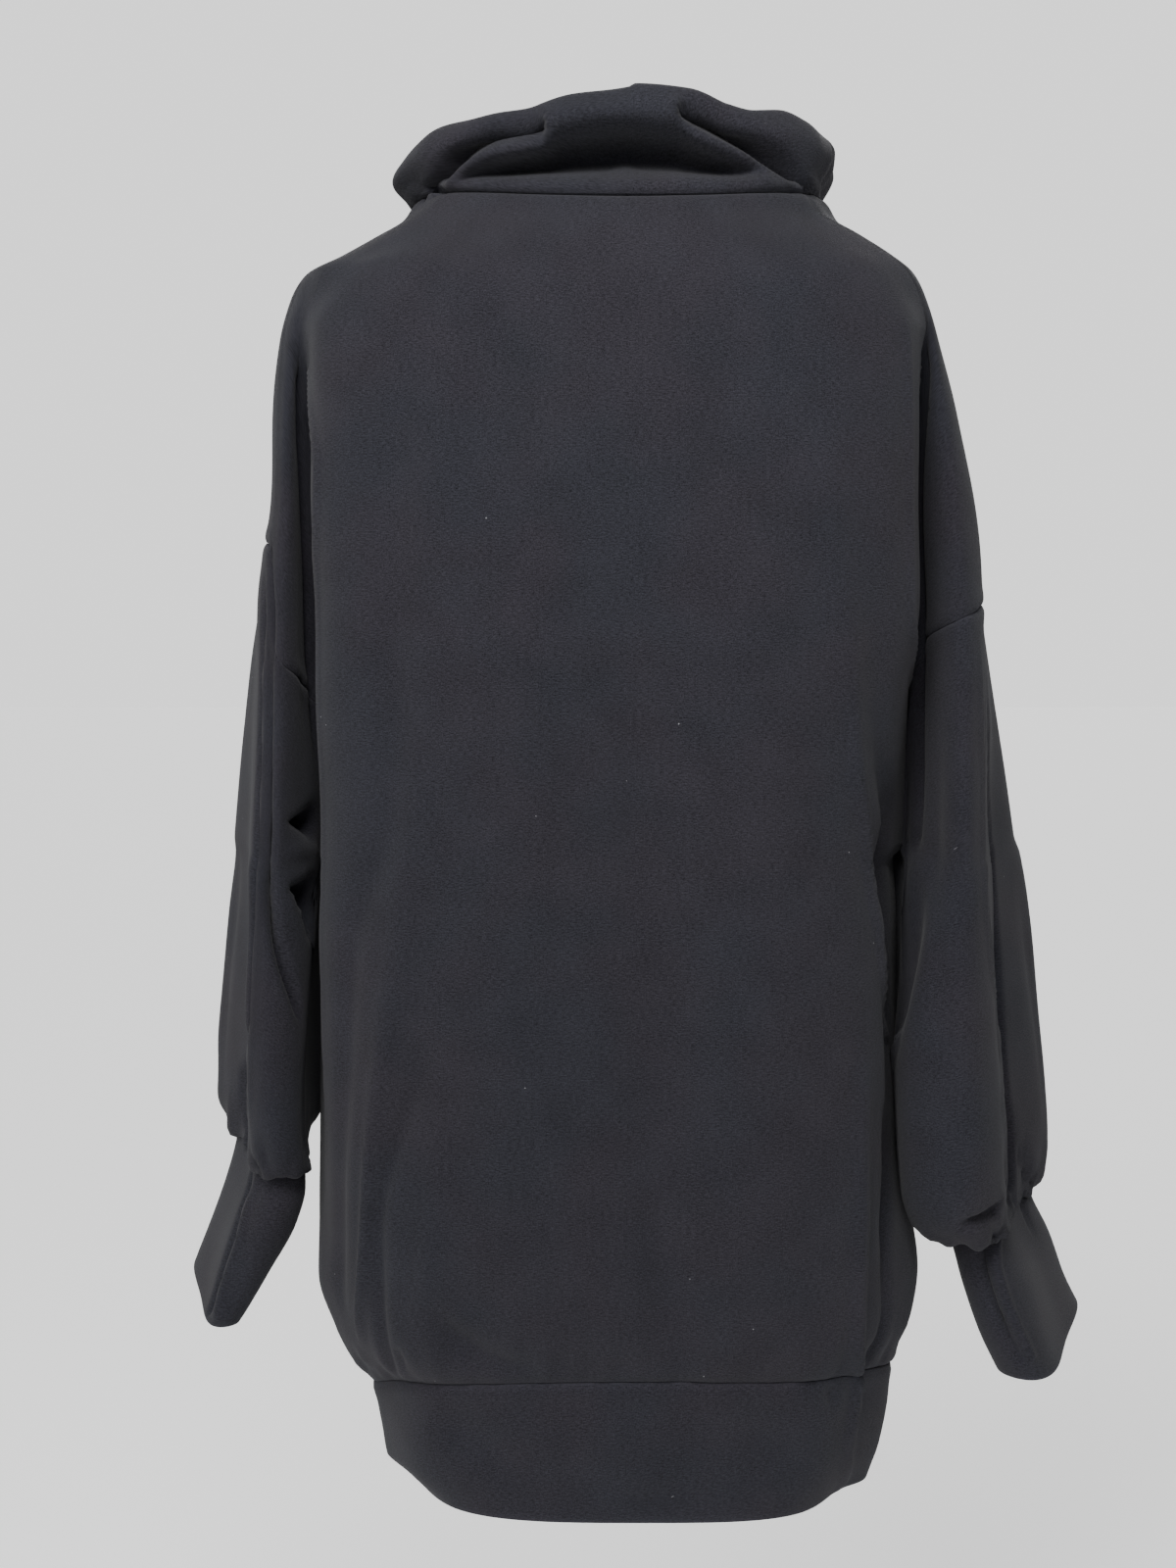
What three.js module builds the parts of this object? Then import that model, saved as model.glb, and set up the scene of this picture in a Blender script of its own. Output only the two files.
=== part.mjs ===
// Tunic sweatshirt with a tall slouched collar, dropped shoulders, bishop sleeves, deep cuffs and a hem band,
// hollow, hanging as it is worn. Millimetres, +Z up, front facing -Y, the wearer's left at +X.
// The origin is the middle of the neck seam, where the garment hangs from the wearer's shoulders.
//
// The cloth is one surface of rings, cut along its seams into the pieces that a maker sews:
//   yoke    from the neck seam to the underarm, right round the body and the dropped shoulders
//   body    from the underarm to the hem seam, then the hem band
//   sleeve  from the armhole seam to the cuff seam, then the cuff
//   collar  profiles that stand on the neck seam
import * as THREE from "three";

const cloth = 2.0; // wall of the body and sleeves
const doubledCloth = 3.0; // wall of the collar, cuffs and hem band, whose cloth is folded double
const seamGap = 0.3; // between two pieces along their seam
const clothColour = 0x2b2c31;

// Armhole seams: their depth at shares of the way from the top of the arm to the creases.
const armholeShares = [0, 0.25, 0.35, 0.45, 0.625, 0.75, 0.875, 1];
const armholes = {
  left: [228, 229, 234, 303, 320, 331, 352, 440],
  right: [271, 272, 276, 279, 287, 295, 314, 440],
};

// The neck seam's height at centre back, at its highest, a little behind the sides, and at centre front. It fades
// out by the shoulder points.
const neckRise = { back: -5, top: 6.5, front: -32, topAt: 7.2 };
const neckFade = 110;

const table = (columns, rows) =>
  rows.map((row) => Object.fromEntries(columns.map((name, i) => [name, row[i]])));

// Yoke sections by depth. back and front are the distances of the centres, corner is where a panel turns in at
// its side, valley the crease between body and sleeve, lobe the sleeve's two sides, out its furthest point.
// open is how wide the bottom of the valley is, dent how deep the sleeve sinks between its two sides, and
// splay how much further out its front side lies than its back side. round softens the turn at the corner.
const yoke = table(
  ["depth", "back", "front", "cornerY", "valleyY", "lobeY", "open", "dent", "round",
    "leftCorner", "leftValley", "leftOut", "leftSplay", "rightCorner", "rightValley", "rightOut", "rightSplay"],
  [
    [0, 92, 92, 80, 56, 30, 0.5, 0, 1, 92, 126, 148, 0, 86, 118, 138, 0],
    [14, 100, 103, 85, 60, 34, 0.5, 0, 1, 104, 138, 159, 0, 96, 126, 147, 0],
    [26, 106, 111, 88, 62, 38, 0.49, 0, 1, 122, 159, 180, 0, 113, 147, 168, 0],
    [38, 111, 117, 91, 65, 42, 0.47, 0, 1, 144, 182, 203, 0, 134, 167, 188, 0],
    [50, 115, 122, 94, 66, 46, 0.45, 0, 1, 170, 206, 227, 0, 154, 184, 200, 0],
    [64, 118, 126, 95, 63, 50, 0.43, 0, 0.9, 184, 211, 236, 0, 167, 193, 205, 0],
    [90, 121, 131, 96, 58, 56, 0.4, 0, 0.6, 202, 218, 243, 0, 184, 199, 214, 0],
    [140, 126, 139, 94, 42, 66, 0.28, 0, 0.2, 211, 215, 248, 0, 190, 196, 230, 0],
    [200, 129, 146, 92, 30, 74, 0.25, 1, 0, 213, 213, 252, 1, 193, 196, 242, 1],
    [270, 131, 150, 90, 20, 83, 0.23, 5, 0, 212, 211, 265, 6, 195, 197, 255, 6],
    [350, 132, 152, 88, 13, 91, 0.22, 12, 0, 212, 211, 276, 15, 181, 197, 268, 16],
    [440, 133, 152, 86, 6, 99, 0.2, 20, 0, 212, 212, 287, 20, 166, 197, 279, 27],
  ],
);

// Body and band sections by depth. side is the furthest point of the side, sideY half the width of its flat.
// drop lowers a side below its depth, where the body hangs over the hem band.
const bodyColumns = ["depth", "back", "front", "cornerY", "sideY",
  "leftCorner", "leftSide", "rightCorner", "rightSide", "leftDrop", "rightDrop"];
const body = table(bodyColumns, [
  [452, 133, 152, 86, 8, 211, 206, 166, 190, 0, 0],
  [500, 134, 152, 88, 20, 210, 215, 173, 192, 0, 0],
  [570, 135, 152, 91, 16, 207, 219, 176, 193, 0, 0],
  [640, 136, 152, 93, 18, 202, 221, 174, 196, 0, 0],
  [705, 137, 152, 95, 26, 194, 222, 172, 205, 0, 0],
  [745, 136, 150, 94, 42, 188, 222, 168, 209, 4, 2],
  [770, 133, 146, 90, 44, 180, 211, 166, 205, 16, 10],
  [784, 129, 141, 84, 41, 170, 198, 162, 196, 31, 20],
  [792, 125, 136, 80, 40, 160, 184, 160, 191, 42, 26],
]);
const band = table(bodyColumns, [
  [826, 126, 136, 80, 42, 160, 178, 158, 188, 34, 21],
  [858, 126, 136, 78, 42, 156, 174, 152, 183, 26, 17],
  [889, 127, 134, 68, 40, 144, 165, 144, 174, -4, 12],
]);

// Sleeve and cuff sections by length along the sleeve: a near lobe at the back and a far one at the front, each
// with its height, centre and radius, and the depth of the groove between them on the outside. press moves the
// inside towards the body, and tuck draws the creases between the two lobes.
const sleeveColumns = ["along", "nearZ", "farZ", "nearX", "nearY", "nearR", "farX", "farY", "farR", "groove",
  "press", "tuck"];
const sleeves = {
  left: table(sleeveColumns, [
    [455, -455, -455, 240, 60, 22, 268, -62, 28, 18, 0, 30],
    [500, -500, -500, 243, 62, 21, 274, -66, 29, 24, 8, 14],
    [560, -560, -560, 246, 64, 20, 281, -68, 30, 28, 13, 4],
    [610, -610, -610, 247, 64, 19, 286, -70, 30, 30, 15, 0],
    [640, -640, -637, 247, 62, 19, 287, -70, 29, 28, 14, 0],
    [660, -657, -652, 246, 57, 19, 285, -66, 25, 22, 9, 0],
    [675, -667, -661, 244, 50, 19, 281, -60, 20, 12, 3, 0],
    [690, -663, -656, 246, 44, 15, 281, -56, 10, 5, 0, 0],
  ]),
  right: table(sleeveColumns, [
    [455, -455, -455, 222, 60, 23, 271, -60, 29, 16, 9.5, 34],
    [505, -505, -505, 220, 62, 28, 280, -60, 31, 25, 14.5, 16],
    [570, -570, -570, 220, 66, 33, 287, -62, 33, 28, 18, 5],
    [635, -635, -635, 224, 67, 35, 293, -64, 34, 30, 19, 0],
    [680, -680, -680, 226, 65, 34, 296, -66, 34, 28, 15, 0],
    [704, -702, -700, 231, 60, 31, 295, -66, 29, 20, 10, 0],
    [722, -713, -711, 240, 53, 25, 293, -62, 22, 12, 4, 0],
    [736, -708, -706, 245, 46, 18, 290, -58, 15, 5, 0, 0],
  ]),
};
const cuffs = {
  left: table(sleeveColumns, [
    [710, -682, -674, 247, 44, 17, 283, -53, 11, 3, 0, 0],
    [735, -706, -698, 254, 45, 18, 287, -52, 14, 3, 0, 0],
    [773, -743, -733, 271, 46, 14, 297, -53, 17, 3, 0, 0],
    [812, -779, -768, 288, 47, 10, 312, -55, 16, 2, 0, 0],
  ]),
  right: table(sleeveColumns, [
    [754, -727, -723, 251, 46, 17, 296, -56, 17, 3, 0, 0],
    [778, -750, -744, 259, 46, 19, 304, -57, 20, 4, 0, 0],
    [815, -786, -779, 272, 44, 20, 316, -60, 21, 4, 0, 0],
    [853, -816, -802, 286, 42, 19, 329, -63, 20, 3, 0, 0],
  ]),
};

// Collar profiles by station round the neck seam: 0 is centre back, 9 the left side, 18 centre front, 27 the
// right side. The cloth stands up, sinks into a hollow, comes out over a ridge, dips in a dimple, flops outwards,
// and turns in over its crest to the lip. Each is a pair: how far out from the seam, and how far up.
const collarSteps = ["stand", "hollow", "ridge", "dimple", "flop", "crest", "lip"];
const collar = table(
  ["station", ...collarSteps],
  [
    [0, [4, 15], [-34, 25], [-12, 38], [-2, 46], [3, 54], [-8, 68], [-34, 62]],
    [2, [4, 14], [-28, 23], [-4, 33], [-18, 43], [0, 49], [-7, 56], [-30, 52]],
    [3.5, [4, 12], [-14, 19], [3, 26], [-16, 36], [2, 42], [-7, 48], [-28, 45]],
    [5, [3, 5], [1, 9], [4, 14], [-12, 21], [6, 30], [-1, 40], [-24, 39]],
    [7, [3, 3], [4, 5], [5, 8], [-5, 12], [11, 22], [2, 38], [-24, 40]],
    [9, [5, 3], [7, 5], [8, 8], [5, 12], [14, 20], [0, 39], [-28, 39]],
    [13, [8, 6], [16, 14], [18, 24], [8, 34], [20, 46], [4, 66], [-26, 63]],
    [18, [14, 10], [28, 18], [31, 33], [18, 44], [27, 60], [10, 86], [-22, 82]],
    [23, [8, 6], [16, 14], [18, 24], [8, 34], [20, 48], [2, 68], [-26, 65]],
    [27, [3, 4], [4, 7], [5, 12], [1, 20], [8, 33], [-5, 50], [-28, 47]],
    [30, [2, 3], [2, 6], [3, 9], [-8, 15], [5, 32], [-4, 47], [-26, 44]],
    [31.3, [3, 6], [1, 11], [4, 16], [-13, 24], [5, 36], [-4, 47], [-26, 44]],
    [32.7, [4, 13], [-16, 20], [4, 29], [-15, 38], [3, 46], [-5, 55], [-28, 51]],
    [34.3, [4, 14], [-28, 23], [-4, 37], [-20, 45], [0, 52], [-7, 63], [-30, 59]],
  ],
);

// Sizes of the rings, in stations, and where the named lines lie on them.
const yokeCount = 36;
const bodyCount = 28;
const sleeveCount = 12;
const valleyAt = 5;
const yokeSideAt = yokeCount / 4;
const bodySideAt = bodyCount / 4;
const underarmDepth = yoke.at(-1).depth;
// A sleeve's ring starts at one crease, its outside ends at the other, and its inside follows the body's side.
const sleeveStart = { left: valleyAt, right: 2 * yokeSideAt + valleyAt };
const sleeveOutside = 2 * (yokeSideAt - valleyAt);
const bridgeEnd = { left: valleyAt + sleeveCount, right: 2 * bodySideAt + valleyAt + sleeveCount };

// Columns of a quarter ring, and rows as shares of a piece's length. They are closest where the cloth turns.
const yokeQuarter = [0, 1, 2, 2.5, 3, 3.5, 4, 5, 6, 6.5, 7, 8, 9];
const bodyQuarter = [0, 1, 2, 2.5, 3, 3.5, 4, 5, 6, 7];
const sleeveStations = [0, 1, 1.5, 2, 3, 4, 5, 6, 6.5, 7, 8, 9, 10, 11, 12];
const yokeRows = [0, 0.02, 0.045, 0.075, 0.11, 0.15, 0.21, 0.3, 0.42, 0.56, 0.7, 0.85, 1];
const bodyRows = [0, 0.034, 0.17, 0.37, 0.57, 0.75, 0.88, 0.95, 0.985, 1];
const bandRows = [0, 0.33, 0.67, 1];
const sleeveRows = [0, 0.07, 0.18, 0.32, 0.48, 0.62, 0.74, 0.83, 0.9, 0.95, 1];
const cuffRows = [0, 0.2, 0.55, 1];
const collarRows = [0, 1, 2, 3, 4, 5, 6, 7];

const lerp = (a, b, share) => a + (b - a) * share;
const mix = (p, q, share) => p.map((value, i) => lerp(value, q[i], share));
const wrap = (at, count) => ((at % count) + count) % count;

// Place on a closed uniform cubic B-spline, whose control points are numbered from 0.
function onLoop(points, at) {
  const i = Math.floor(at);
  const t = at - i;
  const weights = [
    (1 - t) ** 3 / 6,
    (3 * t ** 3 - 6 * t ** 2 + 4) / 6,
    (-3 * t ** 3 + 3 * t ** 2 + 3 * t + 1) / 6,
    t ** 3 / 6,
  ];
  const near = weights.map((_, k) => points[wrap(i - 1 + k, points.length)]);
  return points[0].map((_, axis) => weights.reduce((sum, weight, k) => sum + weight * near[k][axis], 0));
}

// Smooth place between knots, with no overshoot. At the pinned knot it keeps the slope of the span above.
function between(knots, places, at, pinned = -1) {
  const last = knots.length - 1;
  let i = 0;
  while (i < last - 1 && at > knots[i + 1]) i += 1;
  const span = knots[i + 1] - knots[i];
  const t = (at - knots[i]) / span;
  return places[0].map((_, axis) => {
    const rise = (k) => (places[k + 1][axis] - places[k][axis]) / (knots[k + 1] - knots[k]);
    const slope = (k) => {
      if (k === 0) return rise(0);
      if (k === last || k === pinned) return rise(k - 1);
      const [before, after] = [rise(k - 1), rise(k)];
      return before * after <= 0 ? 0 : (2 * before * after) / (before + after);
    };
    return (
      places[i][axis] * (1 + 2 * t) * (1 - t) ** 2 +
      slope(i) * span * t * (1 - t) ** 2 +
      places[i + 1][axis] * t * t * (3 - 2 * t) +
      slope(i + 1) * span * t * t * (t - 1)
    );
  });
}

// Rings run from centre back to the left, the front and the right: clockwise, seen from above.
const joinHalves = (left, right) => [...left, ...right.slice(1, -1).reverse()];

// The first four places of a quarter ring: a panel from its centre to the corner where it turns in.
const panelQuarter = (row, middle, corner, round = 0) => [
  [0, middle],
  [0.5 * corner, middle],
  [lerp(0.86, 0.76, round) * corner, lerp(row.cornerY, middle, lerp(0.72, 0.6, round))],
  [corner, row.cornerY],
];

function yokeHalf(row, corner, valley, out, splay, sign) {
  const quarter = (middle, edge) => {
    const panel = panelQuarter(row, middle, corner, row.round);
    const crease = [valley, row.valleyY];
    const lobe = [lerp(valley, edge, 0.5), row.lobeY];
    const bottom = [mix(crease, panel[3], row.open), crease, mix(crease, lobe, row.open)];
    return [...panel, ...bottom, lobe, [edge - 3, 0.55 * row.lobeY]];
  };
  const front = quarter(row.front, out + splay).map(([x, y]) => [x, -y]);
  const back = quarter(row.back, out - splay);
  return [...back, [out - row.dent, 0], ...front.reverse()].map(([x, y]) => [sign * x, y]);
}

const yokeRings = yoke.map((row) =>
  joinHalves(
    yokeHalf(row, row.leftCorner, row.leftValley, row.leftOut, row.leftSplay, 1),
    yokeHalf(row, row.rightCorner, row.rightValley, row.rightOut, row.rightSplay, -1),
  ),
);

function bodyHalf(row, corner, side, sign) {
  const quarter = (middle) => {
    const panel = panelQuarter(row, middle, corner);
    const edge = [side - 2, row.sideY];
    return [...panel, mix(edge, panel[3], 0.5), edge, [side, 0.5 * row.sideY]];
  };
  const front = quarter(row.front).map(([x, y]) => [x, -y]);
  return [...quarter(row.back), [side, 0], ...front.reverse()].map(([x, y]) => [sign * x, y]);
}

const bodyRing = (row) =>
  joinHalves(
    bodyHalf(row, row.leftCorner, row.leftSide, 1),
    bodyHalf(row, row.rightCorner, row.rightSide, -1),
  );

// A sleeve ring runs over the outside from one crease to the other, then back along the inside.
function sleeveRing(row, side) {
  const near = (x, y) => [row.nearX + x * row.nearR, row.nearY + y * row.nearR, row.nearZ];
  const far = (x, y) => [row.farX + x * row.farR, row.farY + y * row.farR, row.farZ];
  const groove = mix(near(1.1, -0.6), far(1.1, 0.7), 0.42);
  const tucked = ([x, y, z], back, inwards) => [x - inwards * row.tuck, y - back * row.tuck, z];
  const back = tucked(near(-1.05, -0.5), 1, 0);
  const front = tucked(far(-1.05, 0.5), -0.8, 0.85);
  const outside = [
    back, tucked(near(-1.05, 0.5), 0.8, 0), near(0.1, 1.35), near(1.2, 0.2),
    [groove[0] - row.groove, groove[1], groove[2]],
    far(1.25, 0.1), far(0.2, -1.3), tucked(far(-1.05, -0.5), -0.6, 0.6), front,
  ];
  const inside = [[0.25, 2.2], [0.5, 1], [0.75, 0.25]].map(([share, pressed]) => {
    const [x, y, z] = mix(front, back, share);
    return [x - pressed * row.press, y, z];
  });
  if (side === "left") return [...outside, ...inside];
  return [...outside.reverse(), ...inside.reverse()].map(([x, y, z]) => [-x, y, z]);
}

// Height of the neck seam at a station of the yoke.
function neckHeight(station) {
  const round = Math.min(wrap(station, yokeCount), yokeCount - wrap(station, yokeCount));
  const turn = (share) => Math.sin((Math.PI / 2) * share) ** 2;
  const { back, top, front, topAt } = neckRise;
  if (round <= topAt) return lerp(back, top, turn(round / topAt));
  return lerp(top, front, turn((round - topAt) / (yokeCount / 2 - topAt)));
}

const yokeDepths = yoke.map((row) => row.depth);
function yokePoint(station, depth) {
  const places = yokeRings.map((ring) => onLoop(ring, station));
  const fade = Math.max(0, 1 - depth / neckFade) ** 2;
  return [...between(yokeDepths, places, depth), neckHeight(station) * fade - depth];
}

// The yoke's station above a body station, or null under the arm, where the body has none above it.
function yokeStationAbove(bodyStation) {
  const station = wrap(bodyStation, bodyCount);
  const extra = (yokeCount - bodyCount) / 2;
  if (station <= valleyAt) return station;
  if (station >= bodyCount - valleyAt) return station + 2 * extra;
  if (Math.abs(station - bodyCount / 2) <= valleyAt) return station + extra;
  return null;
}

// Under the arm, body and sleeve share a short bridge between the yoke's two creases.
const bridge = {
  ...yoke.at(-1),
  sideY: yoke.at(-1).valleyY,
  leftSide: yoke.at(-1).leftValley,
  rightSide: yoke.at(-1).rightValley,
  leftDrop: 0,
  rightDrop: 0,
};
const trunk = [bridge, ...body, ...band];
const trunkRings = trunk.map(bodyRing);
const trunkDepths = trunk.map((row) => row.depth);
function bodyPoint(station, depth) {
  const above = yokeStationAbove(station);
  const places = trunkRings.map((ring) => onLoop(ring, station));
  const upper = above === null ? [] : yokeRings.slice(-2).map((ring) => onLoop(ring, above));
  const [x, y] =
    above === null
      ? between(trunkDepths, places, depth)
      : between([yokeDepths.at(-2), ...trunkDepths], [...upper, ...places.slice(1)], depth, 1);
  const left = wrap(station, bodyCount) < bodyCount / 2;
  const drops = trunk.map((row) => [left ? row.leftDrop : row.rightDrop]);
  const toSide = Math.sin((Math.PI * station) / (2 * bodySideAt)) ** 2;
  return [x, y, -depth - toSide * between(trunkDepths, drops, depth)[0]];
}

function sleevePoint(side, station, along) {
  const rows = [...sleeves[side], ...cuffs[side]];
  const knots = [underarmDepth, ...rows.map((row) => row.along)];
  const places = rows.map((row) => onLoop(sleeveRing(row, side), station));
  if (station > sleeveOutside && station < sleeveCount) {
    return between(knots, [bodyPoint(bridgeEnd[side] - station, underarmDepth), ...places], along);
  }
  const yokeStation = sleeveStart[side] + (station % sleeveCount);
  if (along <= underarmDepth) return yokePoint(yokeStation, along);
  const upper = yokeDepths.slice(-2).map((depth) => yokePoint(yokeStation, depth));
  return between([yokeDepths.at(-2), ...knots], [...upper, ...places], along, 1);
}

// Depth of the armhole seam at a yoke station, which is the underarm's depth beyond the creases.
function armholeDepth(station) {
  const round = wrap(station, yokeCount);
  const side = round < yokeCount / 2 ? "left" : "right";
  const away = Math.abs(round - (side === "left" ? yokeSideAt : 3 * yokeSideAt)) / (yokeSideAt - valleyAt);
  if (away >= 1) return underarmDepth;
  return between(armholeShares, armholes[side].map((depth) => [depth]), away)[0];
}

const collarStations = [collar.at(-1).station - yokeCount, ...collar.map((row) => row.station), yokeCount];
const collarProfiles = [collar.at(-1), ...collar, collar[0]];
function collarPoint(station, step) {
  const [x, y, z] = yokePoint(station, 0);
  if (step === 0) return [x, y, z];
  const profile = collarProfiles.map((row) => row[collarSteps[step - 1]]);
  const [out, up] = between(collarStations, profile, wrap(station, yokeCount));
  const radius = Math.hypot(x, y);
  return [x + (out * x) / radius, y + (out * y) / radius, z + up];
}

// Pieces: faces of four corners, which are numbered within the piece.
const fullRing = (quarter, sideAt) => [
  ...quarter,
  ...quarter.slice(0, -1).reverse().map((at) => 2 * sideAt - at),
  ...quarter.slice(1).map((at) => 2 * sideAt + at),
  ...quarter.slice(0, -1).reverse().map((at) => 4 * sideAt - at),
];
const placeKey = (place) => place.map((value) => value.toFixed(3)).join();
const makePiece = (name, wall) => ({ name, wall, places: [], numbers: new Map(), faces: [] });

function cornerNumber(piece, place) {
  const key = placeKey(place).replaceAll("-0.000", "0.000");
  if (!piece.numbers.has(key)) {
    piece.numbers.set(key, piece.places.length);
    piece.places.push(new THREE.Vector3(...place));
  }
  return piece.numbers.get(key);
}

function addGrid(piece, stations, rows, placeAt) {
  const grid = stations.map((station) => rows.map((row) => cornerNumber(piece, placeAt(station, row))));
  for (let i = 0; i + 1 < stations.length; i += 1) {
    for (let j = 0; j + 1 < rows.length; j += 1) {
      piece.faces.push([grid[i][j], grid[i + 1][j], grid[i + 1][j + 1], grid[i][j + 1]]);
    }
  }
}

const hemDepth = body.at(-1).depth;
const yokeGrid = (station, share) => yokePoint(station, share * armholeDepth(station));
const bodyGrid = (station, share) => bodyPoint(station, lerp(underarmDepth, hemDepth, share));
const bandGrid = (station, share) => bodyPoint(station, lerp(hemDepth, band.at(-1).depth, share));
const wholeYoke = fullRing(yokeQuarter, yokeSideAt);
const wholeBody = fullRing(bodyQuarter, bodySideAt);
const within = (list, low, high) => list.filter((at) => at >= low && at <= high);
const aroundBack = (list, side) => [
  ...within(list, 3 * side, 4 * side).slice(0, -1).map((at) => at - 4 * side),
  ...within(list, 0, side),
];

const backPanel = makePiece("back_panel", cloth);
addGrid(backPanel, aroundBack(wholeYoke, yokeSideAt), yokeRows, yokeGrid);
addGrid(backPanel, aroundBack(wholeBody, bodySideAt), bodyRows, bodyGrid);

const frontPanel = makePiece("front_panel", cloth);
addGrid(frontPanel, within(wholeYoke, yokeSideAt, 3 * yokeSideAt), yokeRows, yokeGrid);
addGrid(frontPanel, within(wholeBody, bodySideAt, 3 * bodySideAt), bodyRows, bodyGrid);

const hemBand = makePiece("hem_band", doubledCloth);
addGrid(hemBand, wholeBody, bandRows, bandGrid);

const collarPiece = makePiece("collar", doubledCloth);
addGrid(collarPiece, wholeYoke.toReversed(), collarRows, collarPoint);

const armPieces = ["left", "right"].flatMap((side) => {
  const cuffStart = sleeves[side].at(-1).along;
  const cuffEnd = cuffs[side].at(-1).along;
  const seamDepth = (station) =>
    station <= sleeveOutside ? armholeDepth(sleeveStart[side] + station) : underarmDepth;
  const sleeve = makePiece(`sleeve_${side}`, cloth);
  addGrid(sleeve, sleeveStations, sleeveRows, (station, share) =>
    sleevePoint(side, station, lerp(seamDepth(station), cuffStart, share)),
  );
  const cuff = makePiece(`cuff_${side}`, doubledCloth);
  addGrid(cuff, sleeveStations, cuffRows, (station, share) =>
    sleevePoint(side, station, lerp(cuffStart, cuffEnd, share)),
  );
  return [sleeve, cuff];
});

const pieces = [backPanel, frontPanel, ...armPieces, hemBand, collarPiece];

// Outward directions at the corners, shared by the pieces that meet there, so that their walls line up.
const outwards = new Map();
const keyOf = (place) => placeKey(place.toArray()).replaceAll("-0.000", "0.000");
for (const piece of pieces) {
  for (const [a, b, c, d] of piece.faces) {
    const [p, q, r, s] = [a, b, c, d].map((i) => piece.places[i]);
    const facing = new THREE.Vector3().subVectors(r, p).cross(new THREE.Vector3().subVectors(s, q)).normalize();
    for (const place of [p, q, r, s]) {
      outwards.set(keyOf(place), (outwards.get(keyOf(place)) ?? new THREE.Vector3()).clone().add(facing));
    }
  }
}

// A wall on a piece's surface: both of its sides, and a rim along every edge.
function wallMesh(piece) {
  const facing = piece.places.map((place) => outwards.get(keyOf(place)).clone().normalize());
  const edges = piece.faces.flatMap(([a, b, c, d]) => [[a, b], [b, c], [c, d], [d, a]]);
  const known = new Set(edges.map(String));
  const rim = edges.filter(([a, b]) => !known.has(String([b, a])));
  const alongRim = new Map();
  for (const [a, b] of rim) {
    const step = new THREE.Vector3().subVectors(piece.places[b], piece.places[a]).normalize();
    for (const i of [a, b]) alongRim.set(i, (alongRim.get(i) ?? new THREE.Vector3()).clone().add(step));
  }
  const places = piece.places.map((place, i) => {
    if (!alongRim.has(i)) return place;
    const inwards = facing[i].clone().cross(alongRim.get(i)).normalize();
    return place.clone().addScaledVector(inwards, seamGap / 2);
  });
  const count = places.length;
  const sides = [0.5, -0.5].flatMap((share) =>
    places.map((place, i) => place.clone().addScaledVector(facing[i], share * piece.wall)),
  );
  const triangles = [
    ...piece.faces.flatMap(([a, b, c, d]) => [[a, b, c], [a, c, d]]),
    ...piece.faces.flatMap(([a, b, c, d]) => [[c, b, a], [d, c, a]].map((t) => t.map((i) => i + count))),
    // Both pieces at a seam split its twisted rim along the same diagonal.
    ...rim.flatMap(([a, b]) =>
      keyOf(piece.places[a]) < keyOf(piece.places[b])
        ? [[b, a, b + count], [a, a + count, b + count]]
        : [[b, a, a + count], [b, a + count, b + count]],
    ),
  ];
  const geometry = new THREE.BufferGeometry();
  geometry.setAttribute("position", new THREE.Float32BufferAttribute(sides.flatMap((p) => p.toArray()), 3));
  geometry.setIndex(triangles.flat());
  geometry.computeVertexNormals();
  const material = new THREE.MeshStandardMaterial({ color: clothColour, roughness: 0.95, metalness: 0 });
  const mesh = new THREE.Mesh(geometry, material);
  mesh.name = piece.name;
  return mesh;
}

const group = new THREE.Group();
group.name = "tunic_sweatshirt";
pieces.forEach((piece) => group.add(wallMesh(piece)));
export default group;
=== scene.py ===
from math import pi, radians

import bpy
import numpy as np
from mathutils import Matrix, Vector


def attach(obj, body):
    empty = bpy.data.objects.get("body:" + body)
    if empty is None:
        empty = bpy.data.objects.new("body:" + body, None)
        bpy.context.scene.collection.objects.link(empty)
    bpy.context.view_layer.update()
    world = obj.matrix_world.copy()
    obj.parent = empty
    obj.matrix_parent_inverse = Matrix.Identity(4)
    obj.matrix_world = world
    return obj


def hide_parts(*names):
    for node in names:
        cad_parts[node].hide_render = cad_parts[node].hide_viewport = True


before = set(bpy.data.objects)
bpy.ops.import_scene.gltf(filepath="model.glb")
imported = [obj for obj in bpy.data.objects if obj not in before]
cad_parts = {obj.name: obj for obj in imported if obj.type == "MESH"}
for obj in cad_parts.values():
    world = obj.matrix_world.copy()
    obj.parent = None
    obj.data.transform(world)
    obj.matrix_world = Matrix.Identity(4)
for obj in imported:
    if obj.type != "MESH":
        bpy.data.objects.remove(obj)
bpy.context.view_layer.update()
print("frame loaded")

# The garment hangs as it is worn, its front towards -Y and the wearer's left at +X. Its tables are in
# millimetres from the middle of the neck seam, and its meshes are made in metres.
mm = 0.001

# The camera stands behind the wearer's back and looks a little down.
camera = {"place": (0.028, 1.40, -0.27), "tilt": 84.72, "lens": 45, "sensor": 36}

lensData = bpy.data.cameras.new("camera")
lensData.lens = camera["lens"]
lensData.sensor_width = camera["sensor"]
cameraObject = bpy.data.objects.new("camera", lensData)
cameraObject.location = camera["place"]
cameraObject.rotation_euler = (radians(camera["tilt"]), 0, pi)
bpy.context.collection.objects.link(cameraObject)
bpy.context.scene.camera = cameraObject
print("camera placed")

# Thicknesses of the walls, the gap along a seam, how far in from a rim the edge is rounded, the wall's share
# left at the rim itself, and how far in the rim is worn.
cloth = {"single": 2.0, "doubled": 3.0, "seamGap": 0.3, "roundedEdge": 1.3, "rimShare": 0.3, "wornReach": 2}

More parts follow.
